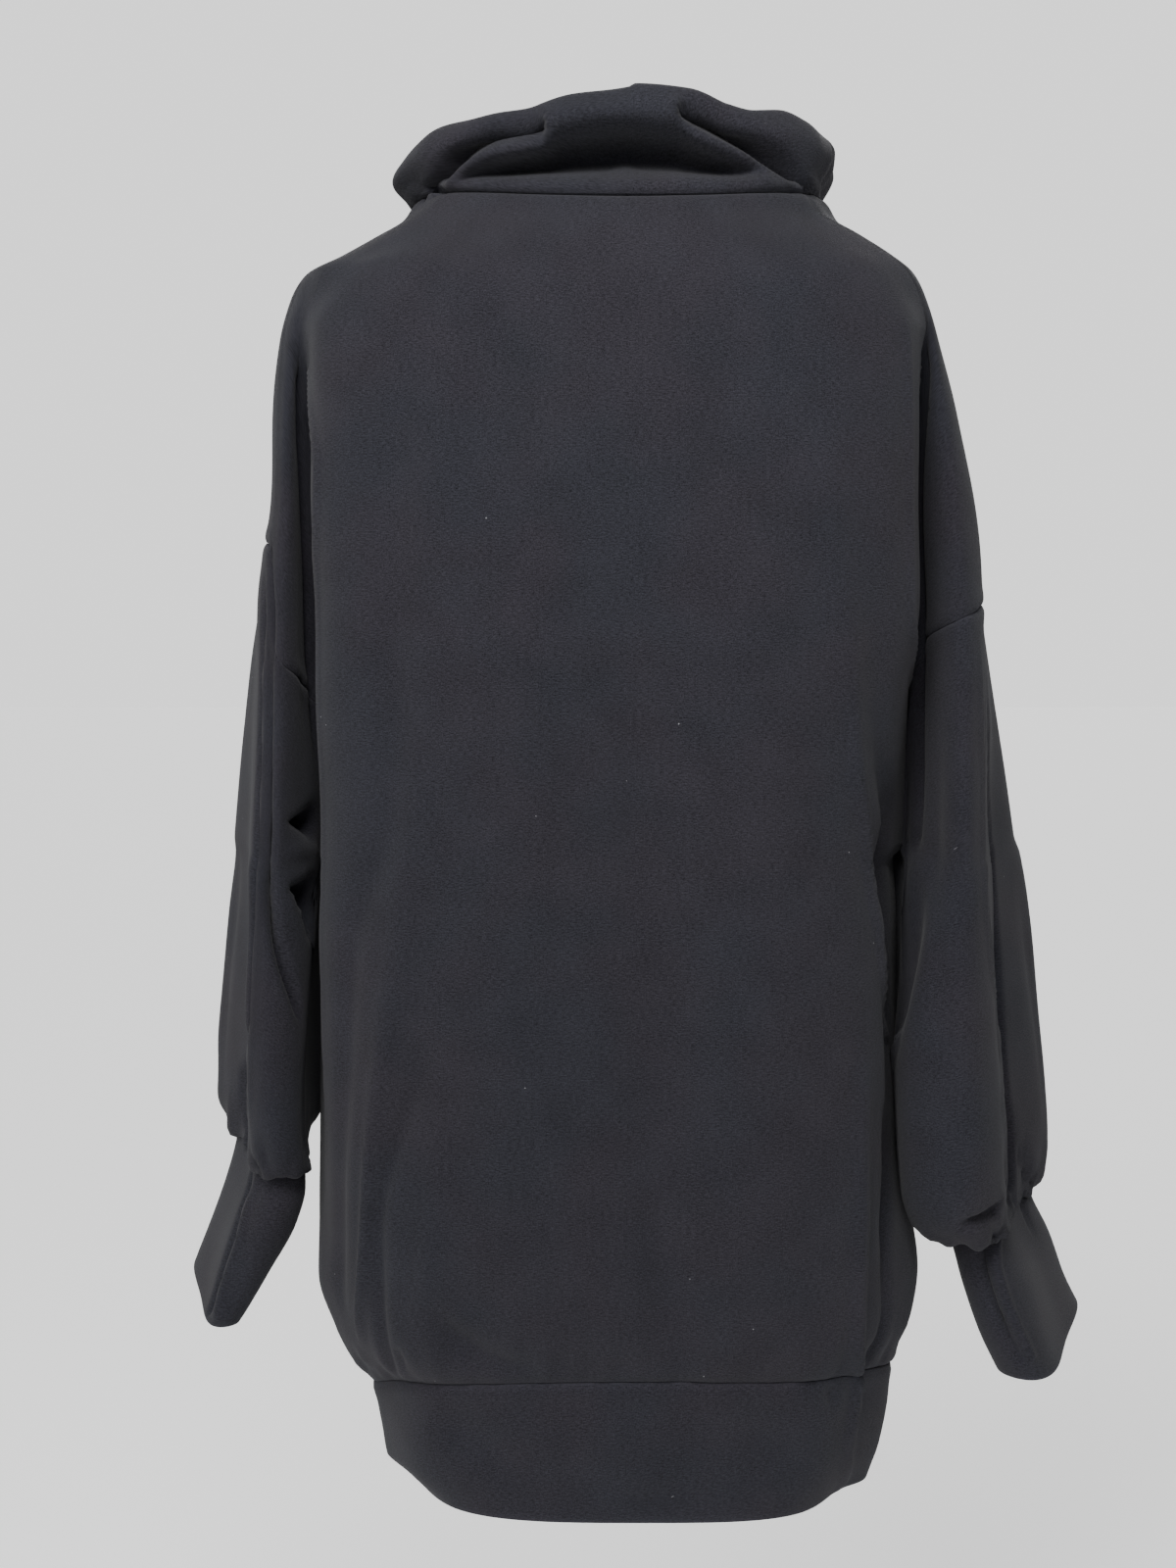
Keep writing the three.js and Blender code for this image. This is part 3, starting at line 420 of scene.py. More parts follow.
# Each fold runs through places on the cloth, and has a width and a height at each: (x, y, z, width, height).
# A height below nothing is a trough. Past its reach, in widths, a fold has no height. Its path is stepped in
# shares of its least width. It starts where the cloth faces its side by the cosine turn, is whole past
# turnSpan more, and ends at its lift off the cloth.
foldLimits = {"reach": 2.6, "step": 0.35, "turn": 0.05, "turnSpan": 0.5, "lift": 30}
folds = {
    "collar hollow": [
        (120, 66, 10, 4, 0), (105, 77, 12, 5, -13.2), (86, 86, 14, 7, -26.4), (60, 92, 17, 9, -37.4),
        (34, 95, 21, 12.5, -46.2), (3, 96, 23, 14, -50.6), (-26, 96, 21, 12.5, -46.2),
        (-45, 94, 17, 9.5, -39.6), (-65, 91, 14, 7.5, -29.7), (-80, 86, 12, 5.5, -15.4),
        (-93, 79, 12, 4, 0),
    ],
    "left collar dimple": [
        (53, 96, 41, 5, 0), (60, 95, 39, 6.5, -17), (74, 92, 38, 6.8, -23), (91, 87, 35, 6.8, -23),
        (105, 80, 29, 6.6, -22), (117, 72, 22, 6.4, -20), (127, 62, 12, 6, -17), (136, 43, 6, 5, -8),
        (141, 27, 5, 4, 0),
    ],
    "right collar dimple": [
        (-29, 97, 53, 5, 0), (-35, 97, 48, 6.8, -17), (-46, 97, 43, 7.6, -24), (-62, 94, 36, 7.8, -25),
        (-79, 88, 28, 7.8, -25), (-95, 78, 20, 7.4, -23), (-109, 68, 12, 6.6, -18),
        (-119, 57, 6, 5, -9), (-125, 39, 4, 4, 0),
    ],
    "left collar ridge": [
        (56, 95, 46, 3.4, 0), (52, 96, 37, 3.4, 5.2), (58, 94, 27, 3.4, 7.2), (79, 89, 24, 3.4, 7.2),
        (96, 82, 22, 3.4, 6.5), (112, 73, 15, 3.4, 6.5), (128, 59, 6, 3.2, 5.2), (138, 29, 5, 3, 0),
    ],
    "right collar ridge": [
        (-32, 95, 57, 3.4, 0), (-28, 98, 47, 3.4, 5.2), (-35, 97, 37, 3.4, 6.5),
        (-52, 94, 29, 3.4, 7.8), (-68, 91, 24, 3.4, 7.8), (-90, 82, 18, 3.4, 7.8),
        (-106, 70, 9, 3.4, 6.5), (-124, 38, 2, 3, 0),
    ],
    "stand at centre back": [
        (20, 95, 10, 4, 0), (12, 95, 12, 4, 2.5), (4, 95, 15, 5, 5.5), (-4, 95, 12, 4, 2.5),
        (-13, 95, 8, 4, 0),
    ],
    "collar back seam": [
        (3, 92, 61, 1.2, -0.8), (3, 98, 49, 1.2, -0.8), (3, 97, 38, 1.2, -0.8), (3, 95, 15, 1.2, -0.5),
        (3, 92, -5, 1.2, -0.5),
    ],
    "back left trough": [
        (151, 117, -128, 15, 0), (152, 122, -197, 14, -3.3), (154, 123, -324, 14, -4.2),
        (158, 123, -414, 13, -4.8), (172, 118, -453, 11, -4.8), (184, 111, -494, 11, -5.1),
        (193, 107, -588, 11, -4.8), (201, 76, -727, 10, -4.5), (198, 70, -768, 8, 0),
    ],
    "back left ridge": [
        (138, 126, -388, 12, 0), (147, 126, -452, 11, 3.3), (157, 124, -518, 10, 4.8),
        (165, 122, -571, 8, 5.1), (171, 119, -618, 5, 5.1), (176, 116, -666, 4, 5.4),
        (181, 107, -723, 3.6, 5.4), (185, 94, -762, 3.4, 4.5), (186, 67, -798, 3.4, 1.5),
    ],
    "back left narrow trough": [
        (131, 130, -543, 8, 0), (138, 129, -576, 7, -2.4), (157, 123, -637, 6, -4.5),
        (169, 118, -686, 6, -5.1), (169, 113, -755, 6, -5.6), (163, 95, -795, 5, -3.2),
    ],
    "back left second ridge": [
        (124, 131, -582, 10, 0), (128, 130, -648, 9, 2.4), (137, 127, -736, 8, 3),
        (140, 123, -772, 7, 0),
    ],
    "pucker over the hem": [
        (139, 128, -729, 8, 0), (128, 129, -749, 9, -4.2), (111, 129, -767, 12, -8.5),
        (86, 128, -778, 9, -5.1), (62, 130, -780, 7, 0),
    ],
    "back middle trough": [
        (-4, 131, -286, 26, 0), (-7, 133, -387, 27, -3.2), (-16, 135, -516, 25, -6.4),
        (-19, 136, -647, 23, -7), (-27, 136, -733, 19, -6.4), (-32, 129, -783, 14, -1.6),
    ],
    "back left swell": [
        (78, 126, -160, 45, 0), (75, 130, -260, 45, 3.1), (79, 131, -419, 45, 3.9),
        (83, 133, -549, 40, 2.9), (80, 135, -660, 35, 0),
    ],
    "back right swell": [
        (-92, 127, -167, 35, 0), (-92, 130, -273, 35, 2.6), (-91, 129, -452, 34, 3.4),
        (-88, 133, -614, 34, 3.4), (-83, 134, -734, 28, 1.3),
    ],
    "back right ridge": [
        (-122, 121, -135, 12, 0), (-130, 123, -210, 12, 2.5), (-139, 124, -286, 10, 3.2),
        (-146, 118, -340, 7, 4), (-150, 114, -379, 5, 4.8), (-158, 103, -429, 4, 5.5),
        (-164, 95, -470, 4, 5.8), (-172, 91, -514, 4, 5.5), (-182, 67, -560, 4, 5),
        (-188, 49, -595, 4, 3.8), (-191, 37, -633, 5, 1.9), (-193, 44, -674, 5, 0),
    ],
    "back right lower ridge": [
        (-158, 111, -547, 8, 0), (-157, 112, -600, 7, 2.8), (-156, 112, -647, 6, 4.2),
        (-156, 114, -704, 5, 5.6), (-156, 106, -771, 5, 6.4), (-157, 86, -804, 5, 5.6),
    ],
    "back right hollow": [
        (-164, 114, -235, 14, 0), (-163, 115, -299, 12, -2.5), (-165, 108, -341, 12, -4.5),
        (-171, 93, -381, 12, -6.5), (-179, 62, -421, 13, -8), (-172, 69, -465, 15, -9),
        (-177, 69, -500, 17, -10.5), (-179, 69, -540, 17, -9.5), (-180, 69, -570, 16, -7),
        (-180, 69, -605, 15, -5), (-180, 69, -645, 14, -3), (-182, 69, -680, 12, 0),
    ],
    "back right lower hollow": [
        (-176, 87, -606, 11, 0), (-181, 75, -658, 11, -7), (-179, 81, -697, 9, -9),
        (-178, 84, -731, 6, -5), (-178, 80, -764, 5, -4.5), (-172, 80, -783, 5, -4.5),
        (-165, 78, -799, 4, -2),
    ],
    "left body edge": [
        (226, 57, -86, 5, 0), (222, 56, -105, 4, 2), (213, 79, -143, 4, 3), (207, 95, -183, 4, 3),
        (208, 86, -260, 4, 3), (209, 83, -365, 4, 2.5), (209, 81, -459, 4, 2), (210, 77, -581, 4, 1.5),
        (213, 53, -671, 4, 0),
    ],
    "left body crease": [
        (224, 57, -92, 3.5, 0), (222, 55, -110, 4, -6), (220, 50, -133, 5, -10),
        (218, 45, -160, 6, -13), (217, 40, -210, 6, -12), (217, 37, -250, 6, -11),
        (218, 36, -300, 5, -9), (218, 34, -345, 4, -6), (219, 33, -400, 4, 0),
    ],
    "left sleeve fall": [
        (225, 57, -100, 7, 0), (223, 54, -135, 10, -3), (222, 51, -165, 11, -5),
        (221, 47, -250, 11, -5), (221, 46, -330, 10, -4), (222, 45, -400, 8, 0),
    ],
    "right body edge": [
        (-181, 92, -82, 5, 0), (-182, 96, -107, 4, 2), (-183, 98, -145, 4, 3), (-185, 99, -209, 4, 3),
        (-187, 99, -273, 4, 3), (-202, 21, -342, 4, 2), (-204, 15, -398, 4, 0),
    ],
    "right body crease": [
        (-201, 58, -84, 3.5, 0), (-200, 55, -106, 4, -7), (-198, 45, -144, 5, -10),
        (-199, 37, -193, 5, -10), (-202, 34, -246, 5, -10), (-203, 33, -294, 5, -10),
        (-204, 32, -355, 5, -8), (-204, 31, -400, 5, -6), (-204, 30, -436, 5, -4),
    ],
    "band right ridge": [
        (-158, 85, -811, 5, 6), (-157, 87, -822, 5, 6), (-153, 89, -845, 6, 5.2),
        (-152, 70, -887, 6, 3),
    ],
    "band left hollow": [
        (135, 108, -819, 16, 0), (109, 119, -829, 17, -4.9), (88, 122, -847, 15, -2.8),
        (74, 123, -868, 12, 0),
    ],
    "band right hollow": [
        (-64, 124, -816, 16, 0), (-93, 121, -837, 18, -4.9), (-112, 116, -857, 15, -2.8),
        (-119, 111, -877, 12, 0),
    ],
    "band middle swell": [
        (28, 125, -812, 20, 0), (2, 127, -831, 22, 3.5), (-12, 127, -852, 20, 2.8),
        (-12, 127, -872, 14, 0),
    ],
    "band dark spot": [
        (-131, 111, -801, 5, 0), (-138, 106, -809, 6, -3.9), (-141, 104, -821, 5, 0),
    ],
    "small pucker": [
        (158, 115, -768, 3, 0), (156, 110, -782, 3.5, -3.8), (155, 103, -794, 3, -1.5),
    ],
    "left sleeve inner crease": [
        (243, 56, -233, 2.5, 0), (242, 63, -260, 3, -6), (242, 68, -290, 3, -7.2),
        (245, 70, -320, 3, -7.2), (245, 74, -379, 3, -7.2), (245, 80, -432, 3, -8.4),
        (245, 79, -465, 3, -9.6), (242, 80, -493, 3.4, -10.8), (236, 78, -517, 3.6, -10.8),
        (229, 73, -541, 3.4, -9.6), (225, 69, -559, 3, 0),
    ],
    "left sleeve outer crease": [
        (249, 52, -243, 2.5, 0), (251, 59, -287, 3, -6), (253, 55, -340, 3, -7.2),
        (254, 66, -393, 3.5, -8.4), (257, 72, -446, 4, -9.6), (260, 72, -501, 4, -10.8),
        (263, 74, -555, 4, -10.8), (280, -8, -623, 4, -9.6), (279, 2, -657, 4, -6),
        (267, 55, -660, 3, 0),
    ],
    "left sleeve front edge": [
        (252, 55, -287, 3, 0), (249, 67, -340, 2.5, 1.5), (250, 74, -393, 2.5, 2),
        (252, 77, -446, 3, 2), (255, 78, -500, 3, 2), (258, 80, -554, 3, 2), (261, 75, -603, 3, 2),
        (262, 71, -638, 3, 0),
    ],
    "left sleeve upper wedge": [
        (233, 74, -418, 2, 0), (228, 64, -420, 3.5, -6), (224, 52, -421, 6, -14),
        (220, 43, -422, 8, -18),
    ],
    "left sleeve bulge": [
        (235, 75, -438, 5, 0), (228, 60, -440, 6, 4), (221, 38, -443, 6, 4),
    ],
    "left sleeve lower wedge": [
        (234, 73, -463, 2, 0), (228, 67, -465, 4, -8), (223, 60, -469, 8, -16),
        (220, 50, -474, 11, -22), (219, 48, -494, 7, -14),
    ],
    "left sleeve end pinch": [
        (267, 55, -659, 3, 0), (261, 70, -659, 3.5, -6.5), (258, 70, -665, 3.5, -6.5),
    ],
    "left sleeve end dent": [
        (252, 81, -629, 5, 0), (251, 80, -644, 5, -1.5), (250, 76, -656, 4, -2),
    ],
    "left cuff crease": [
        (268, 35, -674, 4, -6.5), (273, 40, -694, 4, -7.2), (280, 44, -718, 4, -7.2),
        (290, 47, -747, 4, -6.5), (297, 48, -769, 3.5, -5.2),
    ],
    "left cuff edge": [
        (261, 54, -675, 4, 2.8), (267, 51, -694, 4, 3.5), (274, 56, -719, 4, 3.5),
        (284, 56, -748, 4, 3.5), (289, 58, -770, 4, 2.8),
    ],
    "right sleeve fold edge": [
        (-239, 61, -287, 3, 0), (-240, 64, -326, 3, 1.5), (-243, 62, -394, 3, 2.2),
        (-246, 67, -461, 3, 2.6), (-250, 68, -515, 3, 2.6), (-265, 22, -580, 3, 2.6),
        (-261, 64, -619, 3, 2.6), (-274, 18, -675, 3.4, 2.6), (-261, 72, -683, 4, 1),
    ],
    "right sleeve crease": [
        (-246, 50, -314, 2.5, 0), (-251, 40, -368, 3, -4), (-260, 16, -440, 3.5, -6),
        (-266, 10, -504, 4, -8), (-271, 7, -562, 4, -9), (-276, 8, -619, 4, -9),
        (-281, 3, -657, 4, -9), (-281, 4, -686, 4, -8), (-278, 14, -701, 3, -4),
    ],
    "right sleeve end pinch": [
        (-223, 95, -694, 3, 0), (-232, 98, -691, 4, -6.5), (-243, 93, -689, 4, -9.1),
        (-254, 82, -687, 4, -7.8), (-262, 72, -685, 3, 0),
    ],
    "right sleeve end fold": [
        (-289, -12, -661, 3, 0), (-292, -13, -676, 3.5, -4), (-297, -22, -694, 3.5, -5),
    ],
    "right sleeve inner edge": [
        (-213, 59, -327, 8, 0), (-212, 56, -428, 9, -2.5), (-210, 89, -525, 9, -2.5),
        (-220, 102, -609, 8, -2), (-228, 102, -657, 7, 0),
    ],
    "right sleeve inner hollow": [
        (-205, 51, -452, 10, 0), (-201, 53, -466, 12, -4), (-197, 55, -482, 14, -8),
        (-194, 56, -502, 15, -11), (-190, 56, -525, 15, -12), (-187, 56, -548, 14, -11),
        (-186, 57, -568, 12, -5), (-187, 56, -592, 10, 0),
    ],
    "right cuff crease": [
        (-250, 63, -703, 5, -6.4), (-252, 63, -731, 5, -7.2), (-256, 65, -751, 4.5, -6.4),
        (-266, 65, -776, 4.5, -5.6), (-277, 64, -798, 4, -3.2),
    ],
    "right cuff ridge": [
        (-257, 56, -706, 3, 3.2), (-258, 63, -733, 3, 4.8), (-262, 65, -749, 3, 4.8),
        (-272, 65, -775, 3, 4.8), (-284, 64, -799, 3, 3.2),
    ],
    "right cuff gather": [
        (-295, -47, -705, 4, -6.5), (-294, -21, -712, 4, -5.2), (-298, -15, -725, 4, -2.6),
        (-305, -15, -738, 4, 0),
    ],
    "front left trough": [
        (128, -137, -170, 10, 0), (126, -144, -260, 14, -2.4), (122, -146, -400, 14, -3.2),
        (118, -147, -520, 14, -3), (124, -145, -640, 12, -3.4), (134, -139, -751, 11, -3),
        (138, -111, -809, 8, 0),
    ],
    "front left ridge": [
        (98, -149, -430, 12, 0), (100, -149, -520, 11, 2), (104, -148, -620, 9, 3),
        (112, -147, -710, 7, 3.4), (118, -134, -783, 5, 3),
    ],
    "front middle trough": [
        (-12, -148, -230, 20, 0), (-18, -152, -340, 24, -2), (-28, -152, -480, 24, -3.2),
        (-34, -152, -620, 22, -3.6), (-40, -151, -720, 18, -3), (-46, -140, -785, 14, -1),
    ],
    "front right ridge": [
        (-96, -148, -300, 12, 0), (-100, -146, -420, 11, 2.4), (-108, -145, -540, 10, 3.2),
        (-118, -143, -660, 8, 3.6), (-124, -138, -740, 6, 3.4), (-126, -125, -787, 5, 3),
    ],
    "front right trough": [
        (-134, -139, -240, 10, 0), (-138, -134, -380, 12, -3), (-142, -130, -500, 11, -4),
        (-144, -131, -620, 10, -4.4), (-143, -130, -720, 8, -3.6), (-141, -121, -778, 6, -2),
    ],
    "front pucker over the hem": [
        (86, -148, -742, 8, 0), (72, -147, -760, 9, -3), (48, -144, -776, 10, -4),
        (20, -141, -784, 8, -2), (2, -140, -786, 6, 0),
    ],
    "left sleeve outside trough": [
        (285, -31, -430, 10, 0), (292, -41, -510, 9, -3), (301, -47, -580, 8, -2.4),
        (303, -49, -637, 6, 0),
    ],
    "right sleeve outside trough": [
        (-288, -35, -460, 10, 0), (-302, -43, -540, 9, -3), (-314, -51, -620, 8, -2.4),
        (-318, -55, -689, 6, 0),
    ],
}


def foldHeights(places, facing):
    # Height of the folds at the places. A fold's path is a smooth line through its places, taken every few
    # millimetres. At each place on the cloth it has the height of the nearest of these times
    # exp(-(distance / width)^2), with the distance measured along the cloth, and it fades out where the
    # cloth faces away from the path's own side.
    total = np.zeros(len(places))
    for path in folds.values():
        path = np.array(path, float)
        reach = foldLimits["reach"] * path[:, 3].max()
        low, high = path[:, :3].min(axis=0) - reach, path[:, :3].max(axis=0) + reach
        close = np.flatnonzero(np.all((places > low) & (places < high), axis=1))
        if not len(close):
            continue
        run = np.concatenate([[0], np.cumsum(np.linalg.norm(np.diff(path[:, :3], axis=0), axis=1))])
        count = int(run[-1] / (foldLimits["step"] * path[:, 3].min())) + 2
        along = between(run, path[:, None, :].repeat(count, axis=1), np.linspace(0, run[-1], count))
        here, own = places[close], np.arange(len(close))
        apart = ((here[:, None] - along[None, :, :3]) ** 2).sum(axis=2)
        side = facing[close][apart.argmin(axis=0)]
        nearest = apart.argmin(axis=1)
        off = here - along[nearest, :3]
        lift = (off * side[nearest]).sum(axis=1)
        away = np.sqrt(np.maximum((off**2).sum(axis=1) - lift**2, 0))
        towardsPath = (facing[close] * side[nearest]).sum(axis=1)
        fade = np.clip((towardsPath - foldLimits["turn"]) / foldLimits["turnSpan"], 0, 1)
        fade = fade * (np.abs(lift) < foldLimits["lift"])
        total[close] += along[nearest, 4] * np.exp(-((away / along[nearest, 3]) ** 2)) * fade
    return total


def spread(stops, counts):
    # Stations from stop to stop, with so many steps between each two.
    runs = [np.linspace(a, b, n, endpoint=False) for a, b, n in zip(stops[:-1], stops[1:], counts)]
    return np.concatenate(runs + [[stops[-1]]])


def mirrored(quarter, side):
    # A quarter ring's stations carried round the whole ring.
    half = np.concatenate([quarter, 2 * side - quarter[-2::-1]])
    return np.concatenate([half, 2 * side + half[1:]])


def rowShares(count, *ends):
    # Shares from 0 to 1, with finer ones beside the ends named.
    fine = np.array([0, 0.0008, 0.0018, 0.0032, 0.0055, 0.009, 0.014])
    core = np.linspace(0.02 * ("top" in ends), 1 - 0.02 * ("bottom" in ends), count)
    low = fine if "top" in ends else []
    high = 1 - fine if "bottom" in ends else []
    return np.unique(np.concatenate([low, core, high]))


yokeQuarter = spread([*range(9), 8.8, 8.96, 9], [24, 18, 12, 8, 8, 10, 12, 12, 8, 4, 4])
bodyQuarter = spread([*range(7), 6.8, 6.96, 7], [24, 18, 12, 8, 8, 8, 6, 4, 4])
wholeYoke, wholeBody = mirrored(yokeQuarter, yokeSide), mirrored(bodyQuarter, bodySide)
sleeveStations = np.concatenate(
    [
        yokeQuarter[yokeQuarter >= creaseAt] - creaseAt,
        (2 * yokeSide - yokeQuarter[yokeQuarter >= creaseAt][-2::-1]) - creaseAt,
        sleeveOutside + (bodyQuarter[bodyQuarter >= creaseAt] - creaseAt)[1:],
        sleeveOutside + 2 * (bodySide - creaseAt) - (bodyQuarter[bodyQuarter >= creaseAt] - creaseAt)[-2::-1],
    ]
)


def within(stations, low, high):
    return stations[(stations >= low - 1e-9) & (stations <= high + 1e-9)]


def aroundBack(stations, side):
    # Stations from the right side by centre back to the left side.
    return np.concatenate([within(stations, 3 * side, 4 * side)[:-1] - 4 * side, within(stations, 0, side)])


def lengthsAlong(grid, axis):
    # Length of cloth from the first line of a grid to each of its places.
    steps = np.linalg.norm(np.diff(grid, axis=axis), axis=2)
    pad = [(0, 0), (0, 0)]
    pad[axis] = (1, 0)
    return np.pad(np.cumsum(steps, axis=axis), pad)


gathers = {"height": 1.0, "reach": 13, "wave": 17}


def waves(places, wave, seed):
    # Uneven waves: the sum of six sines of the place, along directions and with lengths drawn about the wave.
    draw = np.random.default_rng(seed)
    total = 0
    for _ in range(6):
        direction = draw.normal(size=3)
        direction /= np.linalg.norm(direction)
        length = wave * draw.uniform(0.7, 1.6)
        total = total + np.sin(2 * pi * (places @ direction) / length + draw.uniform(0, 2 * pi))
    return total / 6**0.5


def puckerHeights(places, distance):
    # Puckers beside a gathered seam: none on the seam and most at the reach, as (d/r) exp(1-d/r).
    away = distance / gathers["reach"]
    return gathers["height"] * away * np.exp(1 - away) * waves(places * (1, 1, 0.25), gathers["wave"], 4)


def makeBlock(placeAt, stations, rows, middle=None, seams=(), edges=(), anchor=0, gathered=0):
    # A grid of places on the cloth. Its lengths are measured along the cloth, across from the middle station
    # and down from the anchor row. Each place's distance from the nearest seam is its length along the grid
    # from the sides that are sewn, and its distance from the nearest rim counts the open edges too.
    s, r = np.meshgrid(stations, rows, indexing="ij")
    grid = placeAt(s.ravel(), r.ravel()).reshape(len(stations), len(rows), 3)
    across, down = lengthsAlong(grid, 0), lengthsAlong(grid, 1)
    middleColumn = np.argmin(np.abs(stations - (stations[0] if middle is None else middle)))
    fromSide = {"first": across, "last": across[-1:] - across, "top": down, "bottom": down[:, -1:] - down}
    far = np.full(grid.shape[:2], 1e3)

    def nearest(sides):
        distance = far.copy()
        for side, *stretch in sides:
            own = fromSide[side]
            if stretch:
                low, high = stretch
                own = np.where(((s >= low) & (s <= high)), own, 1e3)
            distance = np.minimum(distance, own)
        return distance

    seamDistance = nearest(seams)
    return {
        "grid": grid,
        "lengths": np.stack([across - across[middleColumn], down - down[:, [anchor]]], axis=-1),
        "seam": seamDistance,
        "rim": np.minimum(seamDistance, nearest(edges)),
        "pucker": gathered * puckerHeights(grid, fromSide["bottom"]),
    }


def gridFaces(columns, rows):
    # Quads of a grid of columns by rows.
    a = np.arange(columns * rows).reshape(columns, rows)
    return np.stack([a[:-1, :-1], a[1:, :-1], a[1:, 1:], a[:-1, 1:]], axis=-1).reshape(-1, 4)


pieces = {}


def cutPiece(name, wall, blocks):
    pieces[name] = {"wall": wall, "blocks": blocks}


yokeRows = rowShares(108, "top", "bottom")
bodyRows = rowShares(88, "bottom")
bandRows = rowShares(24, "top", "bottom")
sleeveRows = rowShares(96, "top", "bottom")
cuffRows = rowShares(30, "top", "bottom")
collarRows = (collarSteps - 1) * rowShares(60, "top", "bottom")


def yokeGrid(station, share):
    return yokePoint(station, share * armholeDepth(station))


def bodyGrid(station, share):
    return bodyPoint(station, underarmDepth + (hemSeamDepth - underarmDepth) * share)


def bandGrid(station, share):
    return bodyPoint(station, hemSeamDepth + (hemDepth - hemSeamDepth) * share)


sides = (("first",), ("last",))
panelArmholes = [("bottom", *span) for span in ((-9, -5), (5, 13), (23, 27))]
underarms = [("top", *span) for span in ((-7, -5), (5, 9), (19, 23))]


def cutPanel(name, yokeStations, bodyStations, yokeMiddle, bodyMiddle):
    # A panel of two blocks, sewn at the neck, the armholes, the sides and the hem band.
    yokeSeams, bodySeams = [("top",), *sides, *panelArmholes], [("bottom",), *sides, *underarms]
    upper = makeBlock(yokeGrid, yokeStations, yokeRows, yokeMiddle, yokeSeams, anchor=-1)
    lower = makeBlock(bodyGrid, bodyStations, bodyRows, bodyMiddle, bodySeams, gathered=1)
    cutPiece(name, cloth["single"], [upper, lower])


cutPanel("back", aroundBack(wholeYoke, yokeSide), aroundBack(wholeBody, bodySide), 0, 0)
cutPanel(
    "front",
    within(wholeYoke, yokeSide, 3 * yokeSide),
    within(wholeBody, bodySide, 3 * bodySide),
    2 * yokeSide,
    2 * bodySide,
)
openTop, openBottom = [("top",)], [("bottom",)]
bandBlock = makeBlock(bandGrid, wholeBody, bandRows, None, openTop, openBottom)
cutPiece("hemBand", cloth["doubled"], [bandBlock])
collarBlock = makeBlock(collarPoint, wholeYoke[::-1], collarRows, None, openTop, openBottom)
cutPiece("highCollar", cloth["doubled"], [collarBlock])


def armSurface(side, fromLength, toLength):
    # Places on a sleeve or cuff by station and share of its length.
    def placeAt(station, share):
        start = fromLength(station)
        return sleevePoint(side, station, start + (toLength - start) * share)

    return placeAt


for side in ("left", "right"):

    def seamDepth(station, side=side):
        over = armholeDepth(sleeveStart[side] + station)
        return np.where(station <= sleeveOutside, over, underarmDepth)

    def cuffStart(station, side=side):
        return np.full_like(station, cuffSeam[side])

    toCuff = armSurface(side, seamDepth, cuffSeam[side])
    sewnEnds = [("top",), ("bottom",)]
    sleeveBlock = makeBlock(toCuff, sleeveStations, sleeveRows, None, sewnEnds, gathered=2)
    cutPiece(side + "Sleeve", cloth["single"], [sleeveBlock])
    toMouth = armSurface(side, cuffStart, cuffMouth[side])
    cuffBlock = makeBlock(toMouth, sleeveStations, cuffRows, None, openTop, openBottom)
    cutPiece(side + "Cuff", cloth["doubled"], [cuffBlock])
print("cloth laid out")


def weld(pieces):
    # Merges the places that blocks and pieces share, and numbers each piece's quads by them. A place keeps
    # the shortest of its distances from a seam and a rim.
    blocks = [block for piece in pieces.values() for block in piece["blocks"]]

    def stacked(name):
        return np.concatenate([block[name].reshape(block["grid"][..., 0].size, -1) for block in blocks])

    grids = stacked("grid")
    keys = np.round(grids * 1000).astype(np.int64)
    _, first, numbers = np.unique(keys, axis=0, return_index=True, return_inverse=True)
    numbers = numbers.reshape(-1)
    near = {"pucker": stacked("pucker")[first, 0]}
    for name in ("seam", "rim"):
        near[name] = np.full(len(first), 1e3)
        np.minimum.at(near[name], numbers, stacked(name)[:, 0])
    start = 0
    for piece in pieces.values():
        faces, lengths = [], []
        for block in piece["blocks"]:
            columns, rows = block["grid"].shape[:2]
            corners = gridFaces(columns, rows)
            faces.append(numbers[start + corners])
            lengths.append(block["lengths"].reshape(-1, 2)[corners])
            start += columns * rows
        piece["faces"], piece["lengths"] = np.concatenate(faces), np.concatenate(lengths)
    return grids[first], near


def outwards(places, faces):
    # Outward directions at the places: the quads' diagonals crossed, summed and made 1 long.
    p = places[faces]
    facing = np.cross(p[:, 2] - p[:, 0], p[:, 3] - p[:, 1])
    facing /= np.maximum(np.linalg.norm(facing, axis=1, keepdims=True), 1e-9)
    total = np.zeros_like(places)
    for k in range(4):
        np.add.at(total, faces[:, k], facing)
    return total / np.maximum(np.linalg.norm(total, axis=1, keepdims=True), 1e-9)


seams = {"depth": 1.3, "width": 2.2, "swell": 0.5, "swellAt": 7}
unevenness = {"height": 0.7, "wave": 95, "fromRim": 12}


def seamHeights(distance):
    # A groove along a seam, with a low swell of the cloth turned in beside it: exp(-(d/width)^2) down, and
    # (d/at)^2 exp(1-(d/at)^2) up.
    groove = seams["depth"] * np.exp(-((distance / seams["width"]) ** 2))
    away = (distance / seams["swellAt"]) ** 2
    return seams["swell"] * away * np.exp(1 - away) - groove


places, near = weld(pieces)
allFaces = np.concatenate([piece["faces"] for piece in pieces.values()])
facing = outwards(places, allFaces)
lift = foldHeights(places, facing) + seamHeights(near["seam"])
lift += (
    unevenness["height"]
    * waves(places, unevenness["wave"], 2)
    * np.clip(near["rim"] / unevenness["fromRim"], 0, 1)
)
lift += near["pucker"]
places = places + facing * lift[:, None]
facing = outwards(places, allFaces)
print("folds laid in", len(places), "places")


